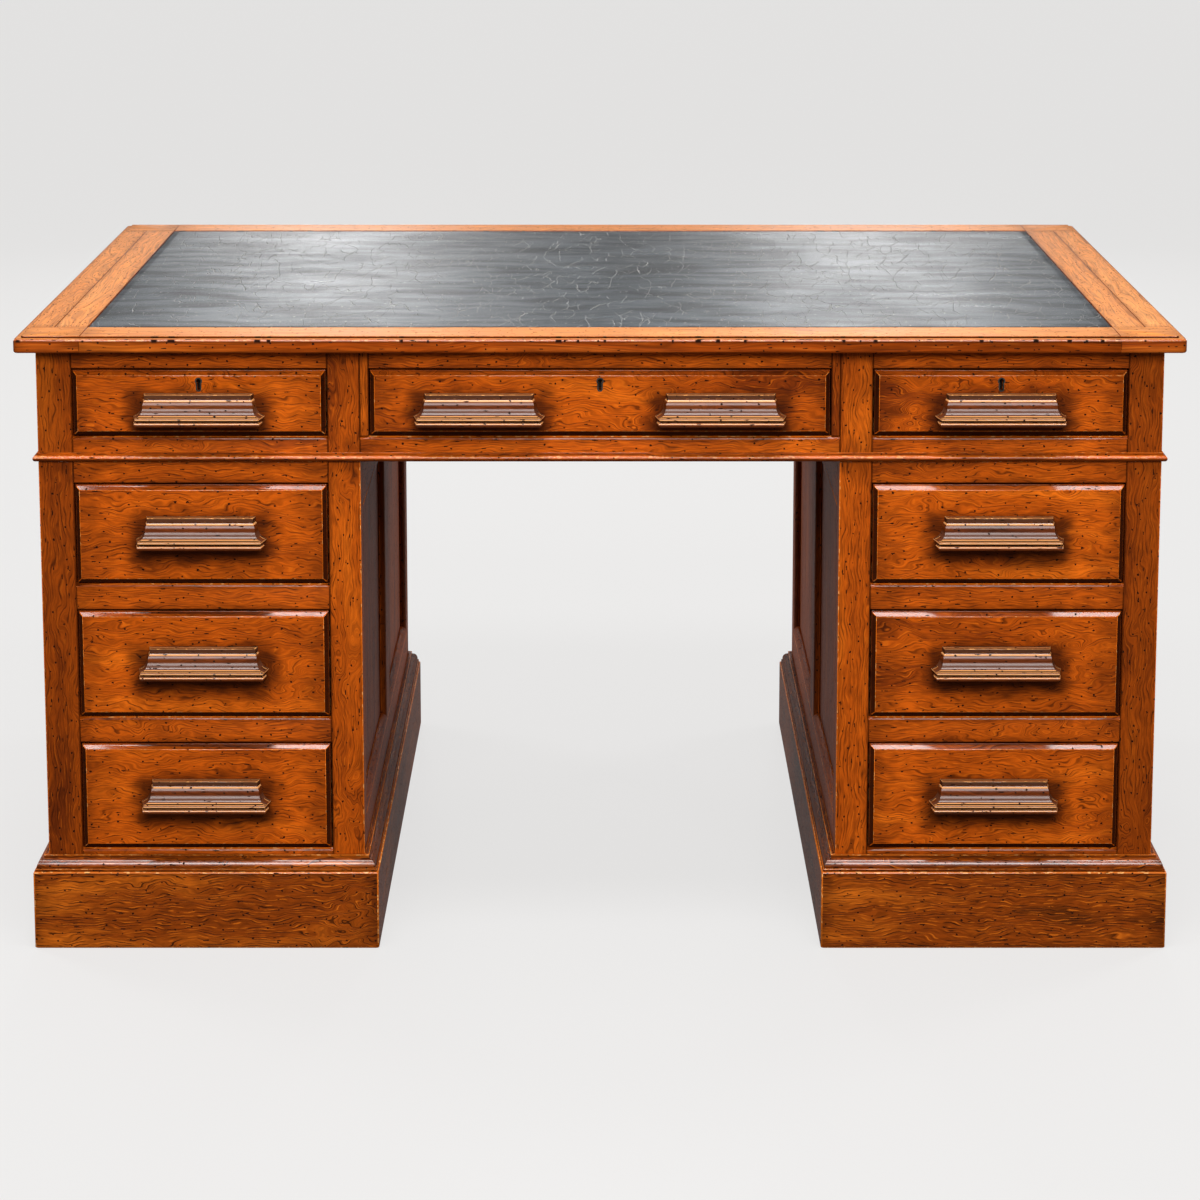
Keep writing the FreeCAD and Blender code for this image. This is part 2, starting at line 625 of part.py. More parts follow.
def hinge_leaf(z_foot, x0, x1, knuckles):
    """Thin leaf in the gap beside the door, with its share of the knuckles about the pin."""
    x_pin = x_post - HINGE_GAP / 2
    y_pin = half_d + KNUCKLE_PROUD
    leaf = board(x0, x1, half_d - LEAF_W, half_d, z_foot, z_foot + HINGE_H)
    bore = Part.makeCylinder(PIN_R + PIN_GAP, HINGE_H, V(x_pin, y_pin, z_foot), Z_AXIS)
    for low, high in knuckles:
        barrel = Part.makeCylinder(KNUCKLE_R, high - low, V(x_pin, y_pin, z_foot + low), Z_AXIS)
        tab = board(x0, x1, half_d, y_pin, z_foot + low, z_foot + high)
        leaf = leaf.fuse([barrel, tab])
    return leaf.removeSplitter().cut(bore)


def hinge_fixed():
    """Leaves on the right-hand rear post, with the end knuckles, and the pins."""
    third = HINGE_H / 3
    ends = ((0, third - KNUCKLE_GAP), (2 * third + KNUCKLE_GAP, HINGE_H))
    shapes = []
    for z_foot in hinge_heights():
        shapes.append(hinge_leaf(z_foot, x_post - LEAF_T, x_post, ends))
        place = V(x_post - HINGE_GAP / 2, half_d + KNUCKLE_PROUD, z_foot)
        shapes.append(Part.makeCylinder(PIN_R, HINGE_H, place, Z_AXIS))
    return shapes


def hinge_moving():
    """Leaves on the right-hand door's edge, with the middle knuckles."""
    third = HINGE_H / 3
    edge = x_post - HINGE_GAP
    return [hinge_leaf(z_foot, edge, edge + LEAF_T, ((third, 2 * third),)) for z_foot in hinge_heights()]


def drawer_nodes(name, open_w, open_h, places, rise, locked):
    """One drawer about the middle of its opening: front, box, pulls and, where it locks, lock and bolt."""
    pieces = {name + "_drawer_front": drawer_front(open_w, open_h, locked),
              name + "_drawer_box": drawer_box(open_w, open_h),
              name + "_drawer_pull": pulls(places, rise)}
    if locked:
        pieces[name + "_lock"] = drawer_lock(open_h)
        pieces[name + "_bolt"] = [bolt_space(open_h, 0)]
    return pieces


def all_drawers():
    """Every drawer in its opening, those of the rear turned to face the other sitter."""
    side = (side_open_w, FRIEZE_OPEN_H, (0,), FRIEZE_PULL_RISE)
    wide = (centre_open_w, FRIEZE_OPEN_H, (-CENTRE_PULL_SPREAD / 2, CENTRE_PULL_SPREAD / 2), FRIEZE_PULL_RISE)
    sites = []
    for prefix, locked in (("", True), ("rear_", False)):
        for place, x, sizes in (("left", -x_drawer, side), ("centre", 0, wide), ("right", x_drawer, side)):
            sites.append((prefix + place + "_frieze", x, z_frieze, sizes, locked))
    for place, x in (("left", -x_drawer), ("right", x_drawer)):
        for row, z, open_h in (("upper", z_upper, UPPER_OPEN_H), ("middle", z_middle, MIDDLE_OPEN_H),
                               ("lower", z_lower, LOWER_OPEN_H)):
            sites.append((place + "_" + row, x, z, (side_open_w, open_h, (0,), PEDESTAL_PULL_RISE), False))
    pieces = {}
    for name, x, z_open, sizes, locked in sites:
        rear = name.startswith("rear_")
        move = V(-x if rear else x, -half_d, z_open + sizes[1] / 2)
        for node, shapes in drawer_nodes(name, *sizes, locked).items():
            for shape in shapes:
                shape.translate(move)
            pieces[node] = [half_turned(shape) for shape in shapes] if rear else shapes
    return pieces


def doors():
    """Both rear doors with their moving leaves, and the fixed leaves of all four hinges."""
    pieces = {"door_hinges_fixed": left_and_right(hinge_fixed())}
    for node, shapes in (("door", door()), ("door_hinge_leaves", hinge_moving())):
        pieces["right_" + node] = shapes
        pieces["left_" + node] = left_and_right(shapes)[len(shapes):]
    return pieces


nodes = {
    "top_border": top_border(),
    "top_core": top_core(),
    "leather_inset": leather_inset(),
    "frieze_posts": frieze_posts(),
    "frieze_rails": frieze_rails(),
    "frieze_interior": frieze_interior(),
    "waist_bead": waist_bead(),
    "pedestal_posts": pedestal_posts(),
    "pedestal_rails": pedestal_rails(),
    "side_panels": side_panels(),
    "pedestal_interiors": pedestal_interiors(),
    "plinth_boards": plinth_boards(),
    "plinth_mouldings": plinth_mouldings(),
}
nodes.update(doors())
nodes.update(all_drawers())

os.makedirs("parts", exist_ok=True)
for node, shapes in nodes.items():
    Part.makeCompound(shapes).exportStep(os.path.join("parts", node + ".step"))
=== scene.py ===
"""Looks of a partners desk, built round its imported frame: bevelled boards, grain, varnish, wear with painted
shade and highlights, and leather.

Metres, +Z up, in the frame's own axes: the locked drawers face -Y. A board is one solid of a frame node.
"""

import json
import math
import random
from types import SimpleNamespace

import bmesh
import bpy
from mathutils import Matrix, Vector, noise


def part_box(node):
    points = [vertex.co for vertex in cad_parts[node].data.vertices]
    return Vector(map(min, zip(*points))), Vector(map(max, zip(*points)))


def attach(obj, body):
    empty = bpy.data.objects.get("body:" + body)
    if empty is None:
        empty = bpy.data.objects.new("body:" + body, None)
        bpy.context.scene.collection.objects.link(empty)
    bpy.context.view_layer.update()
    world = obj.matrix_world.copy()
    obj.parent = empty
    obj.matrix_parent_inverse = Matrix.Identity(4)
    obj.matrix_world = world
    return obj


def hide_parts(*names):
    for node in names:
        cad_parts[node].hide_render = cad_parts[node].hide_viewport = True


bl_info = {
    "name": "Partners Desk",
    "version": (1, 0, 0),
    "blender": (4, 5, 0),
    "location": "3D View > Sidebar > Desk",
    "description": "Dresses the frame of a partners desk in varnished timber, leather and metal",
    "category": "Object",
}

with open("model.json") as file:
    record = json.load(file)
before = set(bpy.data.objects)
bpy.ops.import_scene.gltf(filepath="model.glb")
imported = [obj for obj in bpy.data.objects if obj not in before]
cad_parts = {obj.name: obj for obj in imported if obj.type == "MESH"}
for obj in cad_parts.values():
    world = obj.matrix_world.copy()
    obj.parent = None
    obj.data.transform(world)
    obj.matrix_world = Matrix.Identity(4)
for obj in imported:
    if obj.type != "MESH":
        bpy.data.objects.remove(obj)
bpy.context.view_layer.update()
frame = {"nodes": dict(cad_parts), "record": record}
BODY_OF = {node: body for body, nodes in frame["record"]["behaviour"]["bodies"].items() for node in nodes}
FRONT_END = "_drawer_front"
DRAWERS = sorted(node[:-len(FRONT_END)] for node in frame["nodes"] if node.endswith(FRONT_END))
LOCKED = [name for name in DRAWERS if name + "_lock" in frame["nodes"]]
FINISHED = "finished "
WOODS = {"case": "the carcass and drawers", "top": "the top's border", "faded": "the border's faded face",
         "pull": "the pulls", "plinth": "the plinths", "inner": "the bare timber inside"}
# Each wood's bright shade also paints its worn arrises and its painted highlights.
SHADES = {"dark": "Dark streaks", "body": "Main stain", "bright": "Bright streaks"}

# Noise: its detail and roughness
PLAIN = (1.0, 0.5)
SOFT = (2.0, 0.5)
RICH = (3.0, 0.5)
FIBROUS = (2.0, 0.6)
CLOUDY = (3.0, 0.6)
STREAKY = (4.0, 0.55)
MOTTLED = (4.0, 0.6)

# Figure of the timber. FINE is waves or cells per metre along and across the grain, RISE the span over which
# a mark sets in, FADE the span over which it goes. A growth mark has its rise and fade within a ring, and
# the fineness and rise of the noise that breaks it up.
CURL_FINE = (5.0, 9.0)
CURL_RISE = (0.55, 0.75)
CURL_GAIN = (1.0, 4.0)
WANDER_FINE = (15.0, 32.0)
CLOUD_FINE = (3.2, 22.0)
FIBRE_FINE = (42.0, 520.0)
# Glint is a bright line beside each dark growth line: a painted highlight where light would catch its relief,
# with the wood's own bright flecks.
GROWTH_MARKS = {
    "Lines": ((0.62, 0.80), (0.88, 0.98), (34.0, 130.0), (0.42, 0.60)),
    "Glint": ((0.0, 0.12), (0.16, 0.36), (52.0, 170.0), (0.50, 0.64)),
}

# Stain: the clouds' tones, the fibres' light and shade, each board's own tone, and the almost black tone of
# growth lines, dirt and painted shade
BODY_RISE = (0.16, 0.50)
BRIGHT_RISE = (0.50, 0.92)
FIBRE_RISE = (0.30, 0.70)
FIBRE_GAIN = (0.72, 1.20)
BOARD_TONE = (0.14, -0.07)
DARKEST_SHARE = 0.11

# Pits: round ones and dashes, each with its fineness, largest size in cells and share shown
PIT_KINDS = (((52.0, 60.0), 0.09, 1.0), ((24.0, 115.0), 0.095, 0.8))
PIT_RAGGED_FINE = (420.0, 650.0)
PIT_RAGGED = (0.12, -0.06)
PIT_FADE = (0.65, 1.0)

# Board edges: dirt and painted shade towards ends and sides, and nicks and ticks of the arris
GRIME_SHADE_FINE = (24.0, 40.0)
GRIME_SHADE_WAVE = 1.5
GRIME_SHADE_FADE = (-0.1, 1.0)
GRIME_SHADE_SIDE = 0.010
NICK_FINE = (150.0, 150.0)
NICK_RISE = (0.58, 0.70)
TICK_FINE = (46.0, 9.0)
TICK_FADE = (0.7, 1.0)

# Handling dirt round a pull, and painted shadow that reaches deeper below it
HAND_SHADE_FINE = (30.0, 60.0)
HAND_SHADE_INSET = 0.005
HAND_SHADE_DROP = 0.010
HAND_SHADE_HALF = 0.018
HAND_SHADE_REACH = 0.030
HAND_SHADE_RAGGED = (0.8, -0.4)
HAND_SHADE_FADE = (0.0, 1.0)
HAND_SHADE_SHARE = 0.85

# Bands of a pull by height, in shares of its half height: middle and reach, or the span of an end
# The grooves take dirt and painted shade, the crests wear and a painted highlight, the hollow a grey painted
# reflection.
PULL_GROOVES = ((-0.65, 0.085), (0.695, 0.04))
PULL_RUBBED_LIT_CRESTS = ((-0.755, 0.05), (-0.525, 0.05), (0.60, 0.055))
BAND_CORE = 0.7
HOLLOW_RISE = (-0.46, -0.42)
HOLLOW_FADE = (-0.02, 0.20)
CAP_RISE = (0.70, 0.74)
PULL_BAND_SHARE = 0.75
PULL_ARRIS = 0.4

# Edge of the top, by height above its boards' middle
NOSE_RISE = (0.001, 0.005)
# The quirk's rise and fade place a painted shade below the nose.
QUIRK_RISE = (0.0020, 0.0032)
QUIRK_FADE = (0.0052, 0.0062)
QUIRK_SHADE = 0.4
SEAM_SOIL = 0.45

# Varnish and relief of the timber
COAT_ROUGHNESS = 0.16
COAT_IOR = 1.6
SHEEN = 0.05
FIBRE_ROUGH = 0.14
PIT_ROUGH = 0.4
DARKENED_ROUGH = 0.10
LINE_HEIGHT = -0.6
PIT_HEIGHT = -2.0
NICK_HEIGHT = -0.8
RELIEF_STRENGTH = 0.6

# Leather: fineness along X and Y, with a shift of the pattern
HIDE_WAVE = (6.0, 9.0, 5.0)
HIDE_STREAK = (7.0, 24.0)
HIDE_BEND = 1.6
HIDE_PATCH = (5.0, 4.0, 7.0)
HIDE_PORE = (700.0, 700.0)
HIDE_WARP = (30.0, 9.0)
HIDE_RUB = (0.25, 0.75)
HIDE_ROUGH = (0.12, 0.30)
RUBBED_ROUGH = -0.07
WORN_ROUGH = 0.3
HIDE_SHEEN = 0.028
SCRATCHES = ((24.0, 7.5, 0.0, 0.018), (46.0, 14.0, 11.0, 0.026))
SCRATCH_CORE = 0.3
SCRATCH_PATCH = 0.8
SCRATCH_BREAK = (0.50, 0.56)
SCRATCH_TINT = 0.45
SPECK_FINE = (72.0, 20.0, 3.0)
SPECK_SIZE = 0.085
SPECK_FADE = (0.6, 1.0)
SPECK_TINT = 0.8
STREAK_HEIGHT = 0.16
PORE_HEIGHT = 0.25
SCRATCH_HEIGHT = -1.4
HIDE_RELIEF = {"Strength": 0.8, "Distance": 0.0012}
LEATHER_CELLS = (128, 96)
LEATHER_RIM = 0.004
LEATHER_WAVES = ((9.0, 1.0), (23.0, 0.5))
LEATHER_WAVE_SHARE = 0.6
LEVEL = 0.5

# Metal
TARNISH_FINE = 140.0
TARNISH_RISE = (0.42, 0.68)
TARNISH_ROUGH = 0.3
POLISH_LINES = (2500.0, 2500.0, 160.0)
POLISH_ROUGH = 0.12
METAL_RELIEF = {"Strength": 0.2, "Distance": 0.0001}
LOCK_GLOSS = 0.35
BRASS_GLOSS = 0.25

# Boards: angles between faces, leans of their normals, and lengths that tell one board from another
POINT_DIGITS = 5
SHARP = math.radians(28)
FLAT = math.radians(1)
SQUARE = 0.985
STEEP = 0.9
FRONT_LEAN = 0.25
UP_LEAN = 0.15
ARRIS_SEGMENTS = 2
ROUND_PROFILE = 0.5
LEAST_ARRIS_RUN = 0.006
MORTISE_RUN = 0.0215
THIN_PANEL = 0.009
PANEL_HALF = 0.05
PATTERN_SPAN = 30
LIP_WIDTH = 0.003
OUTER_X = 0.62
KNEE_X = 0.36
STEP_SHARE = 0.8
PLINTH_ARRIS = 1.5

# Darkening of faces: painted shade on faces turned from the light and on those in the kneehole; outer posts,
# stiles, step risers, upper bevels and the bead's flat edge are just made darker
BEVEL_SHADE = 0.97
UPPER_BEVEL_DARK = 0.4
PANEL_SHADE = 0.78
OUTER_DARK = 0.52
END_DARK = 0.2
STILE_DARK = 0.22
STEP_DARK = 0.85
BEAD_DARK = 0.75
KNEE_SHADE = 0.55

# Dovetails and screws
ACROSS = Vector((1, 0, 0))
BACKWARD = Vector((0, 1, 0))
TAIL_PITCH = 0.028
TAIL_SHARE = 0.6
TAIL_THICK = 0.0012
TAIL_FLARE = 36.0
SCREW_HEIGHT = 0.0009
SCREW_PROUD = 0.0001
SCREW_CORNERS = 20
SCREW_SEED = 5
SLOT_REACH = 2.4
SLOT_LIFT = 0.55
SCREW_INSET = 0.007
LOCK_SCREW_DROPS = (0.01, 0.03)
PIN_REACH = 0.005
LEAF_MIDDLE = 0.0065
LEAF_STAGGER = 0.004
LEAF_SCREW_STEP = 0.02
LEAF_CLEAR = 0.0002

# Stage: each lamp's place, aim and size
KEY_LAMP = ((0.0, -1.3, 3.1), (0.0, -0.5, 0.4), (2.4, 0.7))
FRONT_LAMP = ((0.0, -4.6, 3.0), (0.0, 0.0, 0.45), (3.2, 2.0))
BACK_LAMP = ((0.82, 6.0, 1.72), (0.0, 0.0, 0.8), (0.6, 1.5))
SIDE_LAMP = ((4.4, 3.2, 2.3), (0.0, 0.0, 0.4), (1.6, 1.6))
FLOOR_HALF = 60.0
FLOOR_ROUGHNESS = 0.8
FLOOR_GLOW = 1.24
FLOOR_SHARE = 0.13
FAR_GLOW = 1.36
FAR_CLIP = 240.0


# Properties

def length(label, note, default):
    """A length in metres that a user may change."""
    return bpy.props.FloatProperty(name=label, description=note, default=default, unit="LENGTH", precision=5)


def colour(label, note, default):
    """A linear colour that a user may change."""
    return bpy.props.FloatVectorProperty(name=label, description=note, default=default, subtype="COLOR",
                                         size=3, min=0.0, max=1.0)


def wood_colour(wood, shade, default):
    """The colour of one shade of a wood."""
    return colour(f"{wood} {shade}".title(), f"{SHADES[shade]} of {WOODS[wood]}", default)


def number(label, note, default, **kind):
    """Another value that a user may change, with its unit or subtype where it has one."""
    return bpy.props.FloatProperty(name=label, description=note, default=default, **kind)


class DeskSizes(bpy.types.PropertyGroup):
    """Small sizes that finish the frame's boards"""
    arris: length("Arris", "Width of the worn edge of a board", 0.0012)
    rail_nose: length("Rail Nose", "Width of the rounded upper edge of a rail", 0.0036)
    fine_arris: length("Fine Arris", "Width of the worn edge of pulls, mouldings and drawer fields", 0.0007)
    metal_arris: length("Metal Arris", "Width of the eased edge of locks and hinges", 0.00012)
    leather_swell: length("Leather Swell", "Height of the leather's unevenness", 0.00018)
    tail_length: length("Tail Length", "Length of a dovetail at a drawer's corner", 0.012)
    tail_proud: length("Tail Proud", "Height of a dovetail above the drawer front's end", 0.0001)
    screw_radius: length("Screw Radius", "Radius of a screw's head", 0.0029)
    screw_slot: length("Screw Slot", "Width of the slot in a screw's head", 0.0008)


class DeskColours(bpy.types.PropertyGroup):
    """Stains, leather and metals"""
    case_dark: wood_colour("case", "dark", (0.17, 0.025, 0.0015))
    case_body: wood_colour("case", "body", (0.47, 0.079, 0.0025))
    case_bright: wood_colour("case", "bright", (0.72, 0.145, 0.006))
    top_dark: wood_colour("top", "dark", (0.13, 0.022, 0.0015))
    top_body: wood_colour("top", "body", (0.29, 0.046, 0.002))
    top_bright: wood_colour("top", "bright", (0.62, 0.15, 0.015))
    faded_dark: wood_colour("faded", "dark", (0.45, 0.150, 0.038))
    faded_body: wood_colour("faded", "body", (0.61, 0.215, 0.054))
    faded_bright: wood_colour("faded", "bright", (0.72, 0.30, 0.092))
    pull_dark: wood_colour("pull", "dark", (0.04, 0.012, 0.005))
    pull_body: wood_colour("pull", "body", (0.125, 0.025, 0.004))
    pull_bright: wood_colour("pull", "bright", (0.20, 0.055, 0.012))
    # The hollow's grey tint is a painted reflection.
    pull_hollow: colour("Pull Hollow", "Dusty hollow of the pulls", (0.085, 0.033, 0.018))
    pull_cap: colour("Pull Cap", "Greyed upper fillet of the pulls", (0.060, 0.026, 0.014))
    # The crests are rubbed and carry a painted highlight.
    pull_crest: colour("Pull Crest", "Rubbed crests of the pulls' beads", (0.72, 0.33, 0.115))
    plinth_dark: wood_colour("plinth", "dark", (0.085, 0.018, 0.0015))
    plinth_body: wood_colour("plinth", "body", (0.22, 0.039, 0.002))
    plinth_bright: wood_colour("plinth", "bright", (0.55, 0.125, 0.007))
    inner_dark: wood_colour("inner", "dark", (0.30, 0.16, 0.07))
    inner_body: wood_colour("inner", "body", (0.54, 0.30, 0.125))
    inner_bright: wood_colour("inner", "bright", (0.66, 0.42, 0.20))
    bare_wood: colour("Bare Wood", "Timber laid bare where a worn edge is nicked", (0.85, 0.40, 0.12))
    pit: colour("Pit", "Pits and dirt in the grain", (0.012, 0.004, 0.002))
    leather: colour("Leather", "Hide of the writing surface", (0.013, 0.015, 0.017))
    leather_rubbed: colour("Rubbed Leather", "Rubbed streaks of the hide", (0.054, 0.064, 0.073))
    leather_worn: colour("Worn Leather", "Scratches and specks of the hide", (0.36, 0.35, 0.32))
    lock_metal: colour("Lock Metal", "Dull steel of the locks", (0.045, 0.039, 0.033))
    lock_tarnish: colour("Lock Tarnish", "Tarnish of the locks", (0.028, 0.024, 0.021))
    brass: colour("Brass", "Aged brass of the hinges and bolts", (0.55, 0.36, 0.13))
    brass_tarnish: colour("Brass Tarnish", "Tarnish of the hinges and bolts", (0.16, 0.09, 0.035))


class DeskStage(bpy.types.PropertyGroup):
    """Camera, lamps and floor"""
    camera_back: length("Camera Back", "Distance of the camera before the desk's middle", 4.94)
    camera_height: length("Camera Height", "Height of the camera above the floor", 1.481)
    camera_pitch: number("Camera Pitch", "How far the camera looks down", math.radians(10.15),
                         subtype="ANGLE")
    camera_lens: number("Lens", "Focal length on a 36 mm sensor", 108.87, unit="CAMERA")
    camera_shift: number("Shift", "Vertical shift of the frame", -0.16)
    key_power: number("Key", "Power of the overhead lamp", 80.0, unit="POWER")
    back_power: number("Back", "Power of each lamp behind the desk", 22.0, unit="POWER")
    front_power: number("Front", "Power of the lamp before the desk", 205.0, unit="POWER")
    side_power: number("Side", "Power of each lamp beside and behind the desk", 95.0, unit="POWER")
    room: colour("Room", "Colour of the room as it shows behind and in the varnish", (0.56, 0.555, 0.55))
    room_fill: number("Room Fill", "Strength of the room's soft light", 0.4)


# Node trees

class Graph:
    """A node tree being built: an input given a socket is linked, and one given a value is set."""

    def __init__(self, tree):
        self.tree = tree

    def add(self, kind, inputs=(), **settings):
        node = self.tree.nodes.new(kind)
        for name, value in settings.items():
            setattr(node, name, value)
        for key, value in dict(inputs).items():
            self.feed(node.inputs[key], value)
        return node

    def feed(self, socket, value):
        if isinstance(value, bpy.types.NodeSocket):
            self.tree.links.new(value, socket)
        else:
            socket.default_value = value

    def out(self, kind, inputs=(), **settings):
        """The first output of a new node."""
        return self.add(kind, inputs, **settings).outputs[0]

    def math(self, operation, *values):
        return self.out("ShaderNodeMath", enumerate(values), operation=operation)

    def times(self, a, b):
        return self.math("MULTIPLY", a, b)

    def most(self, first, *others):
        for other in others:
            first = self.math("MAXIMUM", first, other)
        return first

    def linear(self, value, gain, start):
        """The value times gain, plus start."""
        return self.math("MULTIPLY_ADD", value, gain, start)

    def combine(self, x, y, z=0.0):
        return self.out("ShaderNodeCombineXYZ", {0: x, 1: y, 2: z})

    def separate(self, vector):
        return self.add("ShaderNodeSeparateXYZ", {0: vector}).outputs

    def finer(self, x, y, fine):
        """A place in waves or cells, from a place in metres."""
        return self.combine(self.times(x, fine[0]), self.times(y, fine[1]))

    def rise(self, value, span, gain=(0.0, 1.0)):
        """Smooth change from the first gain to the second as value goes through the span."""
        values = enumerate((value, *span, *gain))
        return self.out("ShaderNodeMapRange", values, interpolation_type="SMOOTHSTEP")

    def fade(self, value, span):
        return self.rise(value, span, (1.0, 0.0))

    def mix(self, factor, a, b, blend="MIX"):
        node = self.add("ShaderNodeMix", {0: factor, 6: a, 7: b}, data_type="RGBA", blend_type=blend)
        return node.outputs[2]

    def noise(self, vector, kind=SOFT, dimensions="2D"):
        inputs = {"Vector": vector, "Scale": 1.0, "Detail": kind[0], "Roughness": kind[1]}
        return self.out("ShaderNodeTexNoise", inputs, noise_dimensions=dimensions)

    def cells(self, vector, feature="F1"):
        inputs = {"Vector": vector, "Scale": 1.0}
        return self.add("ShaderNodeTexVoronoi", inputs, voronoi_dimensions="2D", feature=feature).outputs

    def bump(self, height, relief):
        return self.out("ShaderNodeBump", {"Height": height, **relief})

    def sockets(self, direction, kind, names):
        for name in names:
            self.tree.interface.new_socket(name, in_out=direction, socket_type="NodeSocket" + kind)


def shader_group(name, vectors, values, outputs):
    """An empty shader group with its named sockets: its graph and its inputs."""
    graph = Graph(bpy.data.node_groups.new(name, "ShaderNodeTree"))
    graph.sockets("INPUT", "Vector", vectors)
    graph.sockets("INPUT", "Float", values)
    graph.sockets("OUTPUT", "Float", outputs)
    return graph, graph.add("NodeGroupInput").outputs


def place_group(graph, name, **inputs):
    """One use of a shared group, its inputs given by name."""
    named = {socket.replace("_", " "): value for socket, value in inputs.items()}
    return graph.add("ShaderNodeGroup", named, node_tree=bpy.data.node_groups[name]).outputs


def opaque(stain):
    """A property's colour as a socket takes it."""
    return (*stain, 1.0)


# Timber

def timber_figure():
    """Slow clouds, broken growth lines that curl in places, and fibres of a board, from grain in metres."""
    graph, given = shader_group("timber figure", ["Grain"], ["Pitch", "Swirl", "Run"],
                                ["Cloud", "Lines", "Glint", "Fibre"])
    along, across = graph.separate(given["Grain"])[:2]
    along = graph.times(along, given["Run"])

    def pattern(fine, sideways, kind):
        return graph.noise(graph.finer(along, sideways, fine), kind)

    curl = graph.rise(pattern(CURL_FINE, across, PLAIN), CURL_RISE, CURL_GAIN)
    wander = graph.math("SUBTRACT", pattern(WANDER_FINE, across, SOFT), 0.5)
    bent = graph.math("ADD", across, graph.times(graph.times(wander, curl), given["Swirl"]))
    ring = graph.math("FRACT", graph.math("DIVIDE", bent, given["Pitch"]))
    made = {"Cloud": pattern(CLOUD_FINE, bent, CLOUDY), "Fibre": pattern(FIBRE_FINE, bent, FIBROUS)}
    for mark, (rise, fade, fine, broken) in GROWTH_MARKS.items():
        line = graph.times(graph.rise(ring, rise), graph.fade(ring, fade))
        made[mark] = graph.times(line, graph.rise(pattern(fine, bent, PLAIN), broken))
    graph.add("NodeGroupOutput", made)


def timber_pits():
    """Small dark pits and short dashes scattered over a board."""
    graph, given = shader_group("timber pits", ["Grain"], ["Amount"], ["Pits"])
    along, across = graph.separate(given["Grain"])[:2]
    ragged = graph.linear(graph.noise(graph.finer(along, across, PIT_RAGGED_FINE)), *PIT_RAGGED)
    masks = []
    for fine, size, share in PIT_KINDS:
        distance, chance = graph.cells(graph.finer(along, across, fine))[:2]
        pick, spread = graph.separate(chance)[:2]
        radius = graph.linear(spread, size / 2, size / 2)
        dot = graph.fade(graph.math("DIVIDE", graph.math("ADD", distance, ragged), radius), PIT_FADE)
        shown = graph.math("LESS_THAN", pick, graph.times(given["Amount"], share))
        masks.append(graph.times(dot, shown))
    graph.add("NodeGroupOutput", {"Pits": graph.most(*masks)})


def board_edges():
    """Dirt and painted shade towards a board's ends and sides, and where its worn arris is nicked or still
    dark.
    """
    graph, given = shader_group("board edges", ["Grain", "Place", "Half"],
                                ["End Width", "Side Width", "Tick Size"], ["Grime", "Nicks", "Ticks"])
    along, across = graph.separate(given["Grain"])[:2]
    sides = zip(graph.separate(given["Place"]), graph.separate(given["Half"]), ("End Width", "Side Width"))
    inside = []
    for place, half, width in sides:
        edge = graph.math("SUBTRACT", half, graph.math("ABSOLUTE", place))
        inside.append(graph.math("DIVIDE", edge, given[width]))
    cloud = graph.math("SUBTRACT", graph.noise(graph.finer(along, across, GRIME_SHADE_FINE), RICH), 0.5)
    wavy = graph.linear(cloud, GRIME_SHADE_WAVE, graph.math("MINIMUM", *inside))
    chips = graph.noise(graph.finer(along, across, NICK_FINE), PLAIN)
    cuts, chance = graph.cells(graph.finer(along, across, TICK_FINE))[:2]
    width = graph.times(graph.separate(chance)[0], given["Tick Size"])
    graph.add("NodeGroupOutput", {
        "Grime": graph.fade(wavy, GRIME_SHADE_FADE),
        "Nicks": graph.rise(chips, NICK_RISE),
        "Ticks": graph.fade(graph.math("DIVIDE", cuts, width), TICK_FADE),
    })


def pull_shade():
    """Handling dirt and painted shadow round the pulls of a drawer front, deeper below: spread and rise place
    them.
    """
    graph, given = shader_group("pull shade", ["Place", "Pulls", "Grain"], [], ["Shade"])
    place_u, place_v = graph.separate(given["Place"])[:2]
    spread, rise, half_pull = graph.separate(given["Pulls"])
    along, across = graph.separate(given["Grain"])[:2]
    beside = graph.math("ABSOLUTE", graph.math("SUBTRACT", graph.math("ABSOLUTE", place_u), spread))
    out_u = graph.most(graph.math("ADD", graph.math("SUBTRACT", beside, half_pull), HAND_SHADE_INSET), 0.0)
    above = graph.math("ABSOLUTE", graph.math("ADD", graph.math("SUBTRACT", place_v, rise), HAND_SHADE_DROP))
    out_v = graph.most(graph.math("SUBTRACT", above, HAND_SHADE_HALF), 0.0)
    reach = graph.math("SQRT", graph.math("ADD", graph.times(out_u, out_u), graph.times(out_v, out_v)))
    cloud = graph.noise(graph.finer(along, across, HAND_SHADE_FINE))
    ragged = graph.math("ADD", graph.math("DIVIDE", reach, HAND_SHADE_REACH), graph.linear(cloud, *HAND_SHADE_RAGGED))
    graph.add("NodeGroupOutput", {"Shade": graph.fade(ragged, HAND_SHADE_FADE)})


def pull_lines():
    """Dirt and painted shade in the grooves of a pull, its crests rubbed bright with a painted highlight, its
    hollow and its cap, by height.
    """
    graph, given = shader_group("pull lines", ["Place", "Half"], [], ["Groove", "Crest", "Hollow", "Cap"])
    height = graph.math("DIVIDE", graph.separate(given["Place"])[1], graph.separate(given["Half"])[1])

    def bands(rows):
        masks = []
        for middle, reach in rows:
            away = graph.math("ABSOLUTE", graph.math("SUBTRACT", height, middle))
            masks.append(graph.fade(away, (BAND_CORE * reach, reach)))
        return graph.most(*masks)

    hollow = graph.times(graph.rise(height, HOLLOW_RISE), graph.fade(height, HOLLOW_FADE))
    graph.add("NodeGroupOutput", {"Groove": bands(PULL_GROOVES), "Crest": bands(PULL_RUBBED_LIT_CRESTS),
                                  "Hollow": hollow, "Cap": graph.rise(height, CAP_RISE)})


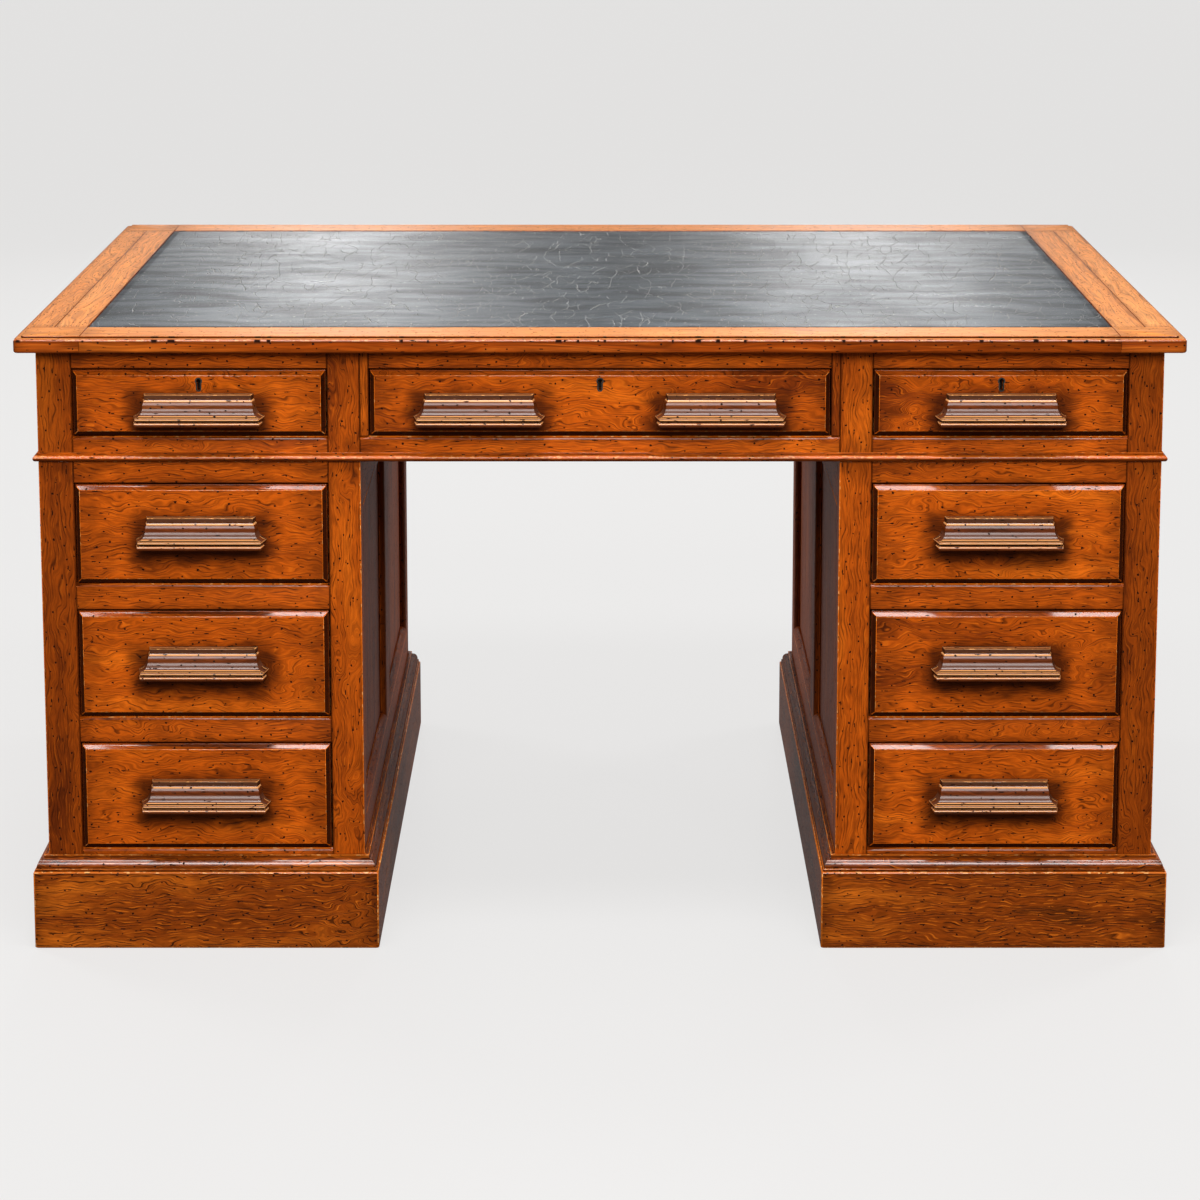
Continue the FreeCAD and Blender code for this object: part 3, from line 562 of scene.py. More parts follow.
def attribute(graph, name):
    return graph.add("ShaderNodeAttribute", attribute_name=name).outputs["Vector"]


def new_material(name):
    """The graph of a new material with an empty tree."""
    material = bpy.data.materials.new(FINISHED + name)
    material.use_nodes = True
    material.node_tree.nodes.clear()
    return Graph(material.node_tree)


def close_material(graph, inputs):
    """Ends a material's tree: its Principled shader with the inputs."""
    shader = graph.out("ShaderNodeBsdfPrincipled", inputs)
    graph.add("ShaderNodeOutputMaterial", {"Surface": shader})


def deepened(dark):
    """The almost black tone of a dark stain, for growth lines, dirt and painted shade."""
    return tuple(DARKEST_SHARE * channel for channel in dark)


def stained(graph, look, wood):
    """A timber's stain with clouds, fibres, dark growth lines and the bright ones beside them, partly a
    painted highlight.
    """
    dark, body, bright = (getattr(look.colours, f"{wood}_{shade}") for shade in SHADES)
    stain = graph.mix(graph.rise(look.tone, BODY_RISE), opaque(dark), opaque(body))
    stain = graph.mix(graph.rise(look.tone, BRIGHT_RISE), stain, opaque(bright))
    fibre = graph.rise(look.figure["Fibre"], FIBRE_RISE, FIBRE_GAIN)
    stain = graph.mix(1.0, stain, graph.combine(fibre, fibre, fibre), "MULTIPLY")
    stain = graph.mix(graph.times(look.figure["Lines"], look.lines), stain, opaque(deepened(dark)))
    return graph.mix(graph.times(look.figure["Glint"], look.glint), stain, opaque(bright))


def hand_shaded(graph, look):
    """Handling dirt and painted shadow round the pulls of a drawer front."""
    pulls = attribute(graph, "pulls")
    marks = place_group(graph, "pull shade", Place=look.place, Grain=look.grain, Pulls=pulls)
    look.soil = graph.most(look.soil, graph.times(marks["Shade"], HAND_SHADE_SHARE))


def beaded(graph, look):
    """Grey painted reflection in the hollow, greyed cap, dirt and painted shade in the black grooves, and
    crests rubbed pale with a painted highlight, of a pull.
    """
    rows = place_group(graph, "pull lines", Place=look.place, Half=look.half)
    for row, band_colour in (("Hollow", look.colours.pull_hollow), ("Cap", look.colours.pull_cap)):
        look.stain = graph.mix(graph.times(rows[row], PULL_BAND_SHARE), look.stain, opaque(band_colour))
    look.soil = graph.most(look.soil, rows["Groove"])
    look.rubbed = graph.most(graph.times(look.rubbed, PULL_ARRIS), graph.times(rows["Crest"], look.wear))
    look.bright = look.colours.pull_crest
    look.nicked = look.arris


def weathered(graph, look):
    """Faded face, dirty seams, painted shade in the quirk below the nose, and the nose rubbed bright with a
    painted highlight and chipped, of the top's border.
    """
    level = graph.separate(look.half)[2]
    up = graph.separate(look.place)[1]
    upright = graph.math("SUBTRACT", 1.0, level)
    look.stain = graph.mix(level, look.stain, stained(graph, look, "faded"))
    look.soil = graph.most(look.soil, graph.times(look.arris, SEAM_SOIL))
    # The quirk below the nose gets painted shade.
    quirk = graph.times(graph.rise(up, QUIRK_RISE), graph.fade(up, QUIRK_FADE))
    look.soil = graph.most(look.soil, graph.times(graph.times(quirk, upright), QUIRK_SHADE))
    # The nose is rubbed bright, a painted highlight as well as wear.
    look.rubbed = graph.times(look.moulded, look.wear)
    nose = graph.most(graph.times(upright, graph.rise(up, NOSE_RISE)), look.moulded)
    look.pits = graph.most(look.pits, graph.times(look.edges["Ticks"], nose))


def crested(graph, look):
    """Rubbed crest of the waist bead, with a painted highlight on its upper faces."""
    look.rubbed = graph.most(look.rubbed, graph.times(look.moulded, look.wear))


TIMBERS = {
    "case": dict(end_width=0.06, gloss=0.55, polish=0.7),
    "bead": dict(wood="case", gloss=0.4, wear=0.35, polish=0.6, treat=crested),
    "drawer": dict(wood="case", swirl=0.03, end_width=0.05, gloss=0.5, treat=hand_shaded),
    "top": dict(pits=0.9, lines=0.35, glint=0.3, pitch=0.009, run=0.3, grime=0.3, ticks=0.30, gloss=0.46,
                wear=0.3, treat=weathered),
    "pull": dict(pits=0.9, lines=0.15, glint=0.1, grime=0.0, wear=0.85, polish=0.42, treat=beaded),
    "plinth": dict(lines=0.85, glint=0.9, swirl=0.022, wear=0.9, relief=0.0005, gloss=0.5),
    "inner": dict(pits=0.1, lines=0.3, glint=0.2, grime=0.1, wear=0.2, gloss=0.6, polish=0.0),
}


def timber(name, wood=None, pits=0.85, lines=0.62, glint=0.6, pitch=0.0038, swirl=0.02, run=1.0, grime=0.5,
           end_width=0.03, ticks=0.10, wear=0.7, gloss=0.36, relief=0.0003, polish=1.0, treat=None):
    """A stained timber: its figure, pits, dirt and painted shade, wear and painted highlights; treat adds what
    only one kind of piece has.
    """
    colours = bpy.context.scene.desk_colours
    wood = wood or name
    graph = new_material(name + " wood")
    look = SimpleNamespace(colours=colours, lines=lines, glint=glint, wear=wear, nicked=None)
    look.grain, look.place, look.half = (attribute(graph, layer) for layer in ("grain", "place", "half"))
    look.arris, look.moulded, soiled = graph.separate(attribute(graph, "wear"))
    look.figure = place_group(graph, "timber figure", Grain=look.grain, Pitch=pitch, Swirl=swirl, Run=run)
    look.pits = place_group(graph, "timber pits", Grain=look.grain, Amount=pits)["Pits"]
    look.edges = place_group(graph, "board edges", Grain=look.grain, Place=look.place, Half=look.half,
                             End_Width=end_width, Side_Width=GRIME_SHADE_SIDE, Tick_Size=ticks)
    tone = graph.linear(graph.separate(look.grain)[2], *BOARD_TONE)
    look.tone = graph.math("ADD", look.figure["Cloud"], tone)
    look.stain = stained(graph, look, wood)
    # Dirt and painted shade towards the edges and on faces turned from the light; worn arrises, and painted
    # highlights on eased faces that look up, painted bright.
    look.soil = graph.most(soiled, graph.times(look.edges["Grime"], grime))
    look.rubbed = graph.times(look.arris, wear)
    look.bright = getattr(colours, wood + "_bright")
    if treat:
        treat(graph, look)

    nicked = look.rubbed if look.nicked is None else look.nicked
    stain = graph.mix(look.soil, look.stain, opaque(deepened(getattr(colours, wood + "_dark"))))
    stain = graph.mix(look.rubbed, stain, opaque(look.bright))
    stain = graph.mix(graph.times(nicked, look.edges["Nicks"]), stain, opaque(colours.bare_wood))
    stain = graph.mix(graph.times(look.rubbed, look.edges["Ticks"]), stain, opaque(colours.pit))
    unmarked = graph.math("SUBTRACT", 1.0, graph.most(look.pits, look.soil))
    rough = graph.linear(look.figure["Fibre"], FIBRE_ROUGH, gloss - FIBRE_ROUGH / 2)
    rough = graph.linear(look.pits, PIT_ROUGH, rough)
    height = graph.linear(look.figure["Lines"], LINE_HEIGHT, look.figure["Fibre"])
    height = graph.linear(look.pits, PIT_HEIGHT, height)
    height = graph.linear(graph.times(look.arris, look.edges["Nicks"]), NICK_HEIGHT, height)
    close_material(graph, {
        "Base Color": graph.mix(look.pits, stain, opaque(colours.pit)),
        "Coat Weight": graph.times(graph.times(look.moulded, polish), unmarked),
        "Coat Roughness": COAT_ROUGHNESS,
        "Coat IOR": COAT_IOR,
        "Specular IOR Level": SHEEN,
        "Roughness": graph.linear(look.soil, DARKENED_ROUGH, rough),
        "Normal": graph.bump(height, {"Strength": RELIEF_STRENGTH, "Distance": relief}),
    })


# Leather and metal

def hide():
    """Worn dark hide: soft streaks along the desk, fine pale scratches, specks and a fine pore."""
    colours = bpy.context.scene.desk_colours
    graph = new_material("leather")
    x, y = graph.separate(graph.add("ShaderNodeTexCoord").outputs["Object"])[:2]

    def spot(fine_x, fine_y, shift=0.0):
        return graph.combine(graph.linear(x, fine_x, shift), graph.linear(y, fine_y, shift))

    wave = graph.noise(spot(*HIDE_WAVE))
    streak_y = graph.linear(y, HIDE_STREAK[1], graph.times(wave, HIDE_BEND))
    streak = graph.noise(graph.combine(graph.times(x, HIDE_STREAK[0]), streak_y), STREAKY)
    patch = graph.noise(spot(*HIDE_PATCH))
    pore = graph.cells(spot(*HIDE_PORE))[0]
    warp = graph.noise(spot(*HIDE_WARP))
    lines = []
    for fine_x, fine_y, shift, width in SCRATCHES:
        places = {0: spot(fine_x, fine_y, shift), 1: graph.combine(warp, warp)}
        bent = graph.out("ShaderNodeVectorMath", places, operation="ADD")
        line = graph.fade(graph.cells(bent, "DISTANCE_TO_EDGE")[0], (SCRATCH_CORE * width, width))
        kept = graph.noise(spot(SCRATCH_PATCH * fine_x, SCRATCH_PATCH * fine_y, shift))
        lines.append(graph.times(line, graph.rise(kept, SCRATCH_BREAK)))
    marks = graph.most(*lines)
    specks, chance = graph.cells(spot(*SPECK_FINE))[:2]
    size = graph.times(graph.separate(chance)[0], SPECK_SIZE)
    specks = graph.fade(graph.math("DIVIDE", specks, size), SPECK_FADE)
    worn = graph.most(graph.times(marks, SCRATCH_TINT), graph.times(specks, SPECK_TINT))
    rubbed = graph.rise(streak, HIDE_RUB)
    base = graph.mix(rubbed, opaque(colours.leather), opaque(colours.leather_rubbed))
    rough = graph.linear(rubbed, RUBBED_ROUGH, graph.linear(patch, *HIDE_ROUGH))
    height = graph.linear(streak, STREAK_HEIGHT, graph.times(pore, PORE_HEIGHT))
    close_material(graph, {
        "Base Color": graph.mix(worn, base, opaque(colours.leather_worn)),
        "Roughness": graph.linear(worn, WORN_ROUGH, rough),
        "Specular IOR Level": HIDE_SHEEN,
        "Normal": graph.bump(graph.linear(marks, SCRATCH_HEIGHT, height), HIDE_RELIEF),
    })


def metal(name, bright, tarnish, gloss):
    """Handled metal with cloudy tarnish and fine scratches."""
    graph = new_material(name)
    place = graph.add("ShaderNodeTexCoord").outputs["Object"]
    fine = graph.out("ShaderNodeVectorMath", {0: place, 3: TARNISH_FINE}, operation="SCALE")
    cloud = graph.noise(fine, MOTTLED, "3D")
    lines = graph.noise(graph.out("ShaderNodeMapping", {0: place, 3: POLISH_LINES}), SOFT, "3D")
    rough = graph.linear(cloud, TARNISH_ROUGH, gloss)
    close_material(graph, {
        "Base Color": graph.mix(graph.rise(cloud, TARNISH_RISE), opaque(bright), opaque(tarnish)),
        "Metallic": 1.0,
        "Roughness": graph.linear(lines, POLISH_ROUGH, rough),
        "Normal": graph.bump(lines, METAL_RELIEF),
    })


def make_materials():
    """Every finish of the desk, called by its slot's words; the bead and drawer fronts have their own."""
    colours = bpy.context.scene.desk_colours
    for build in (timber_figure, timber_pits, board_edges, pull_shade, pull_lines):
        build()
    for name, values in TIMBERS.items():
        timber(name, **values)
    hide()
    metal("lock metal", colours.lock_metal, colours.lock_tarnish, LOCK_GLOSS)
    metal("brass", colours.brass, colours.brass_tarnish, BRASS_GLOSS)


# Boards

def solids(node):
    """Solids of a frame node as triangles of points: a solid ends where every edge has met its twin."""
    mesh = frame["nodes"][node].data
    points = [tuple(round(c, POINT_DIGITS) for c in vertex.co) for vertex in mesh.vertices]
    found, triangles, unmet = [], [], set()
    for face in mesh.polygons:
        corners = [points[index] for index in face.vertices]
        if len(set(corners)) < len(corners):
            continue
        triangles.append(corners)
        for start, end in zip(corners, corners[1:] + corners[:1]):
            if (end, start) in unmet:
                unmet.discard((end, start))
            else:
                unmet.add((start, end))
        if not unmet:
            found.append(triangles)
            triangles = []
    return found


class Board:
    """One solid's box, the axis that its grain follows and its own shift of the pattern."""

    def __init__(self, triangles, rng):
        corners = [Vector(corner) for triangle in triangles for corner in triangle]
        low = Vector([min(c[axis] for c in corners) for axis in range(3)])
        high = Vector([max(c[axis] for c in corners) for axis in range(3)])
        self.centre = (low + high) / 2
        self.half = (high - low) / 2
        self.grain = max(range(3), key=lambda axis: self.half[axis])
        if 2 * min(self.half) < THIN_PANEL and self.half.z > THIN_PANEL:
            if min(self.half) != self.half.z and sorted(self.half)[1] > PANEL_HALF:
                self.grain = 2
        self.shift = (rng.uniform(0, PATTERN_SPAN), rng.uniform(0, PATTERN_SPAN))
        self.tint = rng.random()

    def axes(self, normal):
        """The two axes of a face, along the grain first where the face shows it."""
        facing = max(range(3), key=lambda axis: abs(normal[axis]))
        rest = [axis for axis in range(3) if axis != facing]
        return sorted(rest, key=lambda axis: axis != self.grain)


def add_solids(bm, node):
    """The node's solids as clean faces in bm; each face keeps its board's number."""
    number = bm.faces.layers.int.new("board")
    rng = random.Random(node)
    boards = []
    for triangles in solids(node):
        points = {}
        for triangle in triangles:
            for corner in triangle:
                if corner not in points:
                    points[corner] = bm.verts.new(corner)
            face = bm.faces.new([points[corner] for corner in triangle])
            face[number] = len(boards)
        boards.append(Board(triangles, rng))
    bmesh.ops.dissolve_limit(bm, angle_limit=FLAT, verts=bm.verts[:], edges=bm.edges[:])
    return boards


def soften(bm):
    """Smooth shading on curved faces, hard edges where faces meet at an angle."""
    for edge in bm.edges:
        edge.smooth = edge.is_manifold and edge.calc_face_angle() < SHARP
    for face in bm.faces:
        face.smooth = any(edge.smooth for edge in face.edges)


def bevel(bm, edges, width):
    """Rounds the edges and returns the new faces."""
    made = bmesh.ops.bevel(bm, geom=edges, offset=width, offset_type="OFFSET", segments=ARRIS_SEGMENTS,
                           profile=ROUND_PROFILE, affect="EDGES", clamp_overlap=False)
    for face in made["faces"]:
        face.smooth = True
    return made["faces"]


def corners_of(bm, shortest):
    """Outward edges that are sharp, and long enough to ease."""
    return [edge for edge in bm.edges if edge.is_manifold and edge.is_convex
            and edge.calc_face_angle() > SHARP and edge.calc_length() > shortest]


def slanted(face):
    """Whether a face leans from all three axes."""
    return max(abs(c) for c in face.normal) < SQUARE


def bevel_soil(board, face):
    """Painted shade on the sides and underside of a drawer's bevel; its upper face is only made a little
    darker.
    """
    if not slanted(face):
        return 0.0
    return BEVEL_SHADE if face.normal.z < UP_LEAN else UPPER_BEVEL_DARK


def step_soil(board, face):
    """Darker riser of the step round the top."""
    upper = board.centre.z + STEP_SHARE * board.half.z
    riser = abs(face.normal.z) < UP_LEAN
    return STEP_DARK if riser and face.calc_center_median().z > upper else 0.0


def bead_soil(board, face):
    """Painted shade under the bead, and a darker flat upper edge."""
    return BEAD_DARK if face.normal.z < -UP_LEAN or face.normal.z > SQUARE else 0.0


def case_soil(board, face):
    """Darker outer posts and stiles, and painted shade on the kneehole sides and on faces of the panels'
    mouldings that don't look up.
    """
    normal = face.normal
    soil = 0.0
    if abs(board.centre.x) > OUTER_X:
        soil = END_DARK if abs(normal.x) > SQUARE else OUTER_DARK
    if abs(board.centre.x) < KNEE_X and board.grain == 2:
        soil = STILE_DARK
    if abs(board.centre.x) < KNEE_X and plinth_soil(board, face):
        soil = KNEE_SHADE
    if slanted(face) and normal.z < UP_LEAN:
        soil = max(soil, PANEL_SHADE)
    return soil


def plinth_soil(board, face):
    """Painted shade on faces that look into the kneehole."""
    inward = face.normal.x * board.centre.x < 0
    return KNEE_SHADE if inward and abs(face.normal.x) > UP_LEAN else 0.0


def field_edge(board, face):
    """Whether a face of a drawer front lies well inside its outline."""
    away = face.calc_center_median() - board.centre
    return min(board.half.x - abs(away.x), board.half.z - abs(away.z)) > LIP_WIDTH


def free_edge(board, face):
    """Whether an eased face of a post lies away from the drawers beside it."""
    outward = abs(face.calc_center_median().x) > abs(board.centre.x)
    return outward if abs(board.centre.x) > KNEE_X else not outward


def outer_edge(board, face):
    """Whether an eased face of a frieze post lies at the desk's end."""
    return abs(board.centre.x) > OUTER_X and abs(face.calc_center_median().x) > abs(board.centre.x)


def upper_edge(board, face):
    """Whether an eased face looks up."""
    return face.normal.z > UP_LEAN


def write_grain(bm, boards, worn, soil):
    """Each corner's place on its board: grain and tint, distance from the middle, half sizes, whether it
    lies level, and its worn arris, slanted moulding, and dirt with painted shade."""
    number = bm.faces.layers.int["board"]
    layers = [bm.loops.layers.float_vector.new(name) for name in ("grain", "place", "half", "wear")]
    for face in bm.faces:
        board = boards[face[number]]
        u, v = board.axes(face.normal)
        arris = float(face in worn)
        moulded = float(slanted(face) and abs(face.normal.y) > FRONT_LEAN and face.normal.z > UP_LEAN)
        soiled = soil(board, face) if soil and not arris else 0.0
        level = float(face.normal.z > SQUARE)
        for loop in face.loops:
            at = loop.vert.co
            values = ((at[u] + board.shift[0], at[v] + board.shift[1], board.tint),
                      (at[u] - board.centre[u], at[v] - board.centre[v], 0.0),
                      (board.half[u], board.half[v], level),
                      (arris, moulded, soiled))
            for layer, value in zip(layers, values):
                loop[layer] = value


def link_new(name, data):
    """A new object with the data, in the scene."""
    made = bpy.data.objects.new(name, data)
    bpy.context.scene.collection.objects.link(made)
    return made


def finish_material(finish):
    """The material of a finish: each is called by its slot's words."""
    return bpy.data.materials[FINISHED + finish.replace("_", " ")]


def add_piece(name, mesh, finish, body, slot, *nodes):
    """Links a finished mesh as a piece of the desk that stands for the nodes."""
    piece = link_new(name, mesh)
    mesh.materials.clear()
    mesh.materials.append(finish_material(finish))
    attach(piece, body)
    if nodes:
        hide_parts(*nodes)
    return piece


def plain_mesh(bm, name):
    """The mesh that bm holds."""
    mesh = bpy.data.meshes.new(name)
    bm.to_mesh(mesh)
    bm.free()
    return mesh


def dress(node, arris, slot, finish=None, nose=None, soil=None, rub=None, shortest=LEAST_ARRIS_RUN):
    """A node's boards with eased edges, grain and finish; nose picks the edges rounded first and wider,
    soil gives how dark a board's face is made, by dirt and painted shade, rub picks the
    eased faces painted bright, worn arrises and painted highlights, and edges under the shortest length stay
    sharp."""
    bm = bmesh.new()
    boards = add_solids(bm, node)
    soften(bm)
    worn = set()
    if nose:
        noses = [edge for edge in corners_of(bm, shortest) if nose(edge)]
        worn.update(bevel(bm, noses, bpy.context.scene.desk_sizes.rail_nose))
    rest = [edge for edge in corners_of(bm, shortest) if not worn.intersection(edge.link_faces)]
    worn.update(bevel(bm, rest, arris))
    number = bm.faces.layers.int["board"]
    worn = {face for face in worn if face.is_valid and (not rub or rub(boards[face[number]], face))}
    write_grain(bm, boards, worn, soil)
    name = "finished_" + node
    return add_piece(name, plain_mesh(bm, name), finish or slot, BODY_OF[node], slot, node)


def under_drawer(node):
    """Test for the upper outer edges of a node's rails, apart from its topmost ones."""
    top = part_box(node)[1].z

    def test(edge):
        normals = [face.normal for face in edge.link_faces]
        outer = any(n.z > STEEP for n in normals) and any(abs(n.y) > STEEP for n in normals)
        return outer and edge.verts[0].co.z < top - LEAST_ARRIS_RUN

    return test


def leather_sheet():
    """The writing surface: a thin sheet with a faintly uneven face, its rim pressed down to the core."""
    node = "leather_inset"
    low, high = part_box(node)
    swell = bpy.context.scene.desk_sizes.leather_swell
    bm = bmesh.new()
    columns, rows = LEATHER_CELLS
    bmesh.ops.create_grid(bm, x_segments=columns, y_segments=rows, size=0.5)
    size = high - low
    centre = (low + high) / 2
    for vert in bm.verts:
        inset = min(0.5 - abs(vert.co.x), 0.5 - abs(vert.co.y)) * size.y
        vert.co = Vector((centre.x + vert.co.x * size.x, centre.y + vert.co.y * size.y, 0.0))
        wave = sum(share * noise.noise(vert.co * fine) for fine, share in LEATHER_WAVES)
        rim = math.exp(-inset / LEATHER_RIM)
        vert.co.z = high.z - swell * (1.0 - LEATHER_WAVE_SHARE * wave) - swell * rim
    grown = bmesh.ops.extrude_face_region(bm, geom=bm.faces[:])
    for vert in grown["geom"]:
        if isinstance(vert, bmesh.types.BMVert):
            vert.co.z = low.z
    bmesh.ops.recalc_face_normals(bm, faces=bm.faces[:])
    for face in bm.faces:
        face.smooth = abs(face.normal.z) > LEVEL
    add_piece("finished_" + node, plain_mesh(bm, "leather"), "leather", BODY_OF[node], "leather", node)


def mark_pulls(front, name):
    """Keeps on a drawer front where its pulls are, for the handling dirt and painted shadow round them."""
    low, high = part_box(name + FRONT_END)
    pull = Board(solids(name + "_drawer_pull")[0], random.Random(0))
    away = pull.centre - (low + high) / 2
    marks = front.data.attributes.new("pulls", "FLOAT_VECTOR", "POINT")
    for mark in marks.data:
        mark.vector = (abs(away.x), away.z, pull.half.x)


# Repeats

def tree(name, **inputs):
    """An empty geometry tree with named inputs of the given kinds: its graph and its inputs."""
    graph = Graph(bpy.data.node_groups.new(name, "GeometryNodeTree"))
    for socket, kind in {"Geometry": "Geometry", **inputs, "Material": "Material"}.items():
        graph.sockets("INPUT", kind, [socket])
    graph.sockets("OUTPUT", "Geometry", ["Geometry"])
    return graph, graph.add("NodeGroupInput").outputs


def close_tree(graph, given, instances):
    """Ends a tree: real meshes with their material."""
    real = graph.out("GeometryNodeRealizeInstances", {0: instances})
    finished = graph.out("GeometryNodeSetMaterial", {"Geometry": real, "Material": given["Material"]})
    graph.add("NodeGroupOutput", {0: finished})


def set_on(graph, points, instance, **turn):
    """The instance on every point."""
    return graph.out("GeometryNodeInstanceOnPoints", {"Points": points, "Instance": instance, **turn})


def turned(graph):
    """The rotation kept on each point as the attribute turn."""
    turn = graph.out("GeometryNodeInputNamedAttribute", {"Name": "turn"}, data_type="FLOAT_VECTOR")
    return graph.out("FunctionNodeEulerToRotation", {0: turn})


def dovetail_tree():
    """A row of tails on each point, across its local Y: each spreads along X and stands along Z."""
    graph, given = tree("dovetail rows", Tails="Int", Pitch="Float", Length="Float", Width="Float",
                        Thickness="Float", Flare="Float")
    size = graph.combine(given["Length"], given["Width"], given["Thickness"])
    block = graph.out("GeometryNodeMeshCube", {"Size": size})
    x, y = graph.separate(graph.out("GeometryNodeInputPosition"))[:2]
    spread = graph.combine(graph.times(given["Length"], 0.5), graph.times(graph.times(x, y), given["Flare"]))
    tail = graph.out("GeometryNodeSetPosition", {"Geometry": block, "Offset": spread})
    first = graph.times(graph.math("SUBTRACT", given["Tails"], 1.0), graph.times(given["Pitch"], -0.5))
    line = {"Count": given["Tails"], "Start Location": graph.combine(0.0, first),
            "Offset": graph.combine(0.0, given["Pitch"])}
    row = set_on(graph, graph.out("GeometryNodeMeshLine", line, mode="OFFSET"), tail)
    close_tree(graph, given, set_on(graph, given["Geometry"], row, Rotation=turned(graph)))


def screw_tree():
    """A slotted screw head on each point, its face along the point's local Z, its slot at a random angle."""
    graph, given = tree("slotted screws", Radius="Float", Height="Float", Slot="Float", Seed="Int")
    head = {"Vertices": SCREW_CORNERS, "Radius": given["Radius"], "Depth": given["Height"]}
    head = graph.out("GeometryNodeMeshCylinder", head)
    size = graph.combine(graph.times(given["Radius"], SLOT_REACH), given["Slot"], given["Height"])
    cutter = graph.out("GeometryNodeMeshCube", {"Size": size})
    lift = graph.combine(0.0, 0.0, graph.times(given["Height"], SLOT_LIFT))
    cutter = graph.out("GeometryNodeTransform", {"Geometry": cutter, "Translation": lift})
    slotted = graph.out("GeometryNodeMeshBoolean", {0: head, 1: cutter}, operation="DIFFERENCE")
    placed = set_on(graph, given["Geometry"], slotted, Rotation=turned(graph))
    chance = graph.add("FunctionNodeRandomValue", {"Seed": given["Seed"], 3: math.pi}, data_type="FLOAT")
    angle = graph.combine(0.0, 0.0, chance.outputs[1])
    spun = graph.out("GeometryNodeRotateInstances", {"Instances": placed, "Rotation": angle})
    close_tree(graph, given, spun)


def repeat(name, tree_name, points, settings, finish, body):
    """Runs a tree on points, each a place with its local X and Z axes, and keeps the mesh as a piece."""
    mesh = bpy.data.meshes.new(name)
    mesh.from_pydata([place for place, along, facing in points], [], [])
    turns = mesh.attributes.new("turn", "FLOAT_VECTOR", "POINT")
    for slot, (place, along, facing) in zip(turns.data, points):
        slot.vector = Matrix((along, facing.cross(along), facing)).transposed().to_euler()
    seed = link_new(name, mesh)
    modifier = seed.modifiers.new("repeat", "NODES")
    modifier.node_group = bpy.data.node_groups[tree_name]
    inputs = {item.name: item.identifier for item in modifier.node_group.interface.items_tree
              if item.in_out == "INPUT"}
    for socket, value in dict(settings, Material=finish_material(finish)).items():
        modifier[inputs[socket]] = value
    graph = bpy.context.evaluated_depsgraph_get()
    real = bpy.data.meshes.new_from_object(seed.evaluated_get(graph))
    bpy.data.objects.remove(seed)
    add_piece(name, real, finish, body, finish)


def dovetails(name):
    """Tails of a drawer's sides let into the ends of its front."""
    sizes = bpy.context.scene.desk_sizes
    front_low, front_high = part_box(name + FRONT_END)
    box_low, box_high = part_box(name + "_drawer_box")
    rear = front_high.y > box_high.y
    outward = BACKWARD if rear else -BACKWARD
    y_joint = box_high.y if rear else box_low.y
    height = box_high.z - box_low.z
    count = round(height / TAIL_PITCH)
    pitch = height / count
    points = []
    for x_end, facing in ((front_low.x, -ACROSS), (front_high.x, ACROSS)):
        middle = Vector((x_end, y_joint, (box_low.z + box_high.z) / 2))
        points.append((middle + facing * (sizes.tail_proud - TAIL_THICK / 2), outward, facing))
    settings = {"Tails": count, "Pitch": pitch, "Length": sizes.tail_length, "Width": pitch * TAIL_SHARE,
                "Thickness": TAIL_THICK, "Flare": TAIL_FLARE}
    repeat(name + "_dovetails", "dovetail rows", points, settings, "inner_wood", BODY_OF[name + FRONT_END])


def screws(name, points, body, finish):
    """Screw heads flush in the metal at the points."""
    sizes = bpy.context.scene.desk_sizes
    settings = {"Radius": sizes.screw_radius, "Height": SCREW_HEIGHT, "Slot": sizes.screw_slot,
                "Seed": SCREW_SEED}
    repeat(name, "slotted screws", points, settings, finish, body)


def leaf_screws(node, outward):
    """Places of three screws in each hinge leaf; outward is 1 where it faces the desk's end."""
    points = []
    for triangles in solids(node):
        leaf = Board(triangles, random.Random(node))
        if leaf.half.y < PIN_REACH:
            continue
        facing = Vector((math.copysign(outward, leaf.centre.x * outward), 0, 0))
        for step in (-1, 0, 1):
            y_screw = leaf.centre.y - leaf.half.y + LEAF_MIDDLE + abs(step) * LEAF_STAGGER
            place = Vector((leaf.centre.x, y_screw, leaf.centre.z + step * LEAF_SCREW_STEP))
            place += facing * (SCREW_PROUD - SCREW_HEIGHT / 2 - LEAF_CLEAR)
            points.append((place, BACKWARD, facing))
    return points


# Stage

def set_camera(stage):
    camera = link_new("camera", bpy.data.cameras.new("camera"))
    camera.location = (0.0, -stage.camera_back, stage.camera_height)
    camera.rotation_euler = (math.pi / 2 - stage.camera_pitch, 0.0, 0.0)
    camera.data.lens = stage.camera_lens
    camera.data.shift_y = stage.camera_shift
    camera.data.clip_end = FAR_CLIP
    bpy.context.scene.camera = camera


def set_lamp(name, layout, power, side=1):
    """A soft rectangular lamp that doesn't show itself; side -1 mirrors its place."""
    (x, y, z), aim, size = layout
    lamp = link_new(name, bpy.data.lights.new(name, "AREA"))
    lamp.data.shape = "RECTANGLE"
    lamp.data.size, lamp.data.size_y = size
    lamp.data.energy = power
    lamp.location = (side * x, y, z)
    lamp.rotation_euler = (Vector(aim) - Vector((side * x, y, z))).to_track_quat("-Z", "Y").to_euler()
    lamp.visible_camera = False


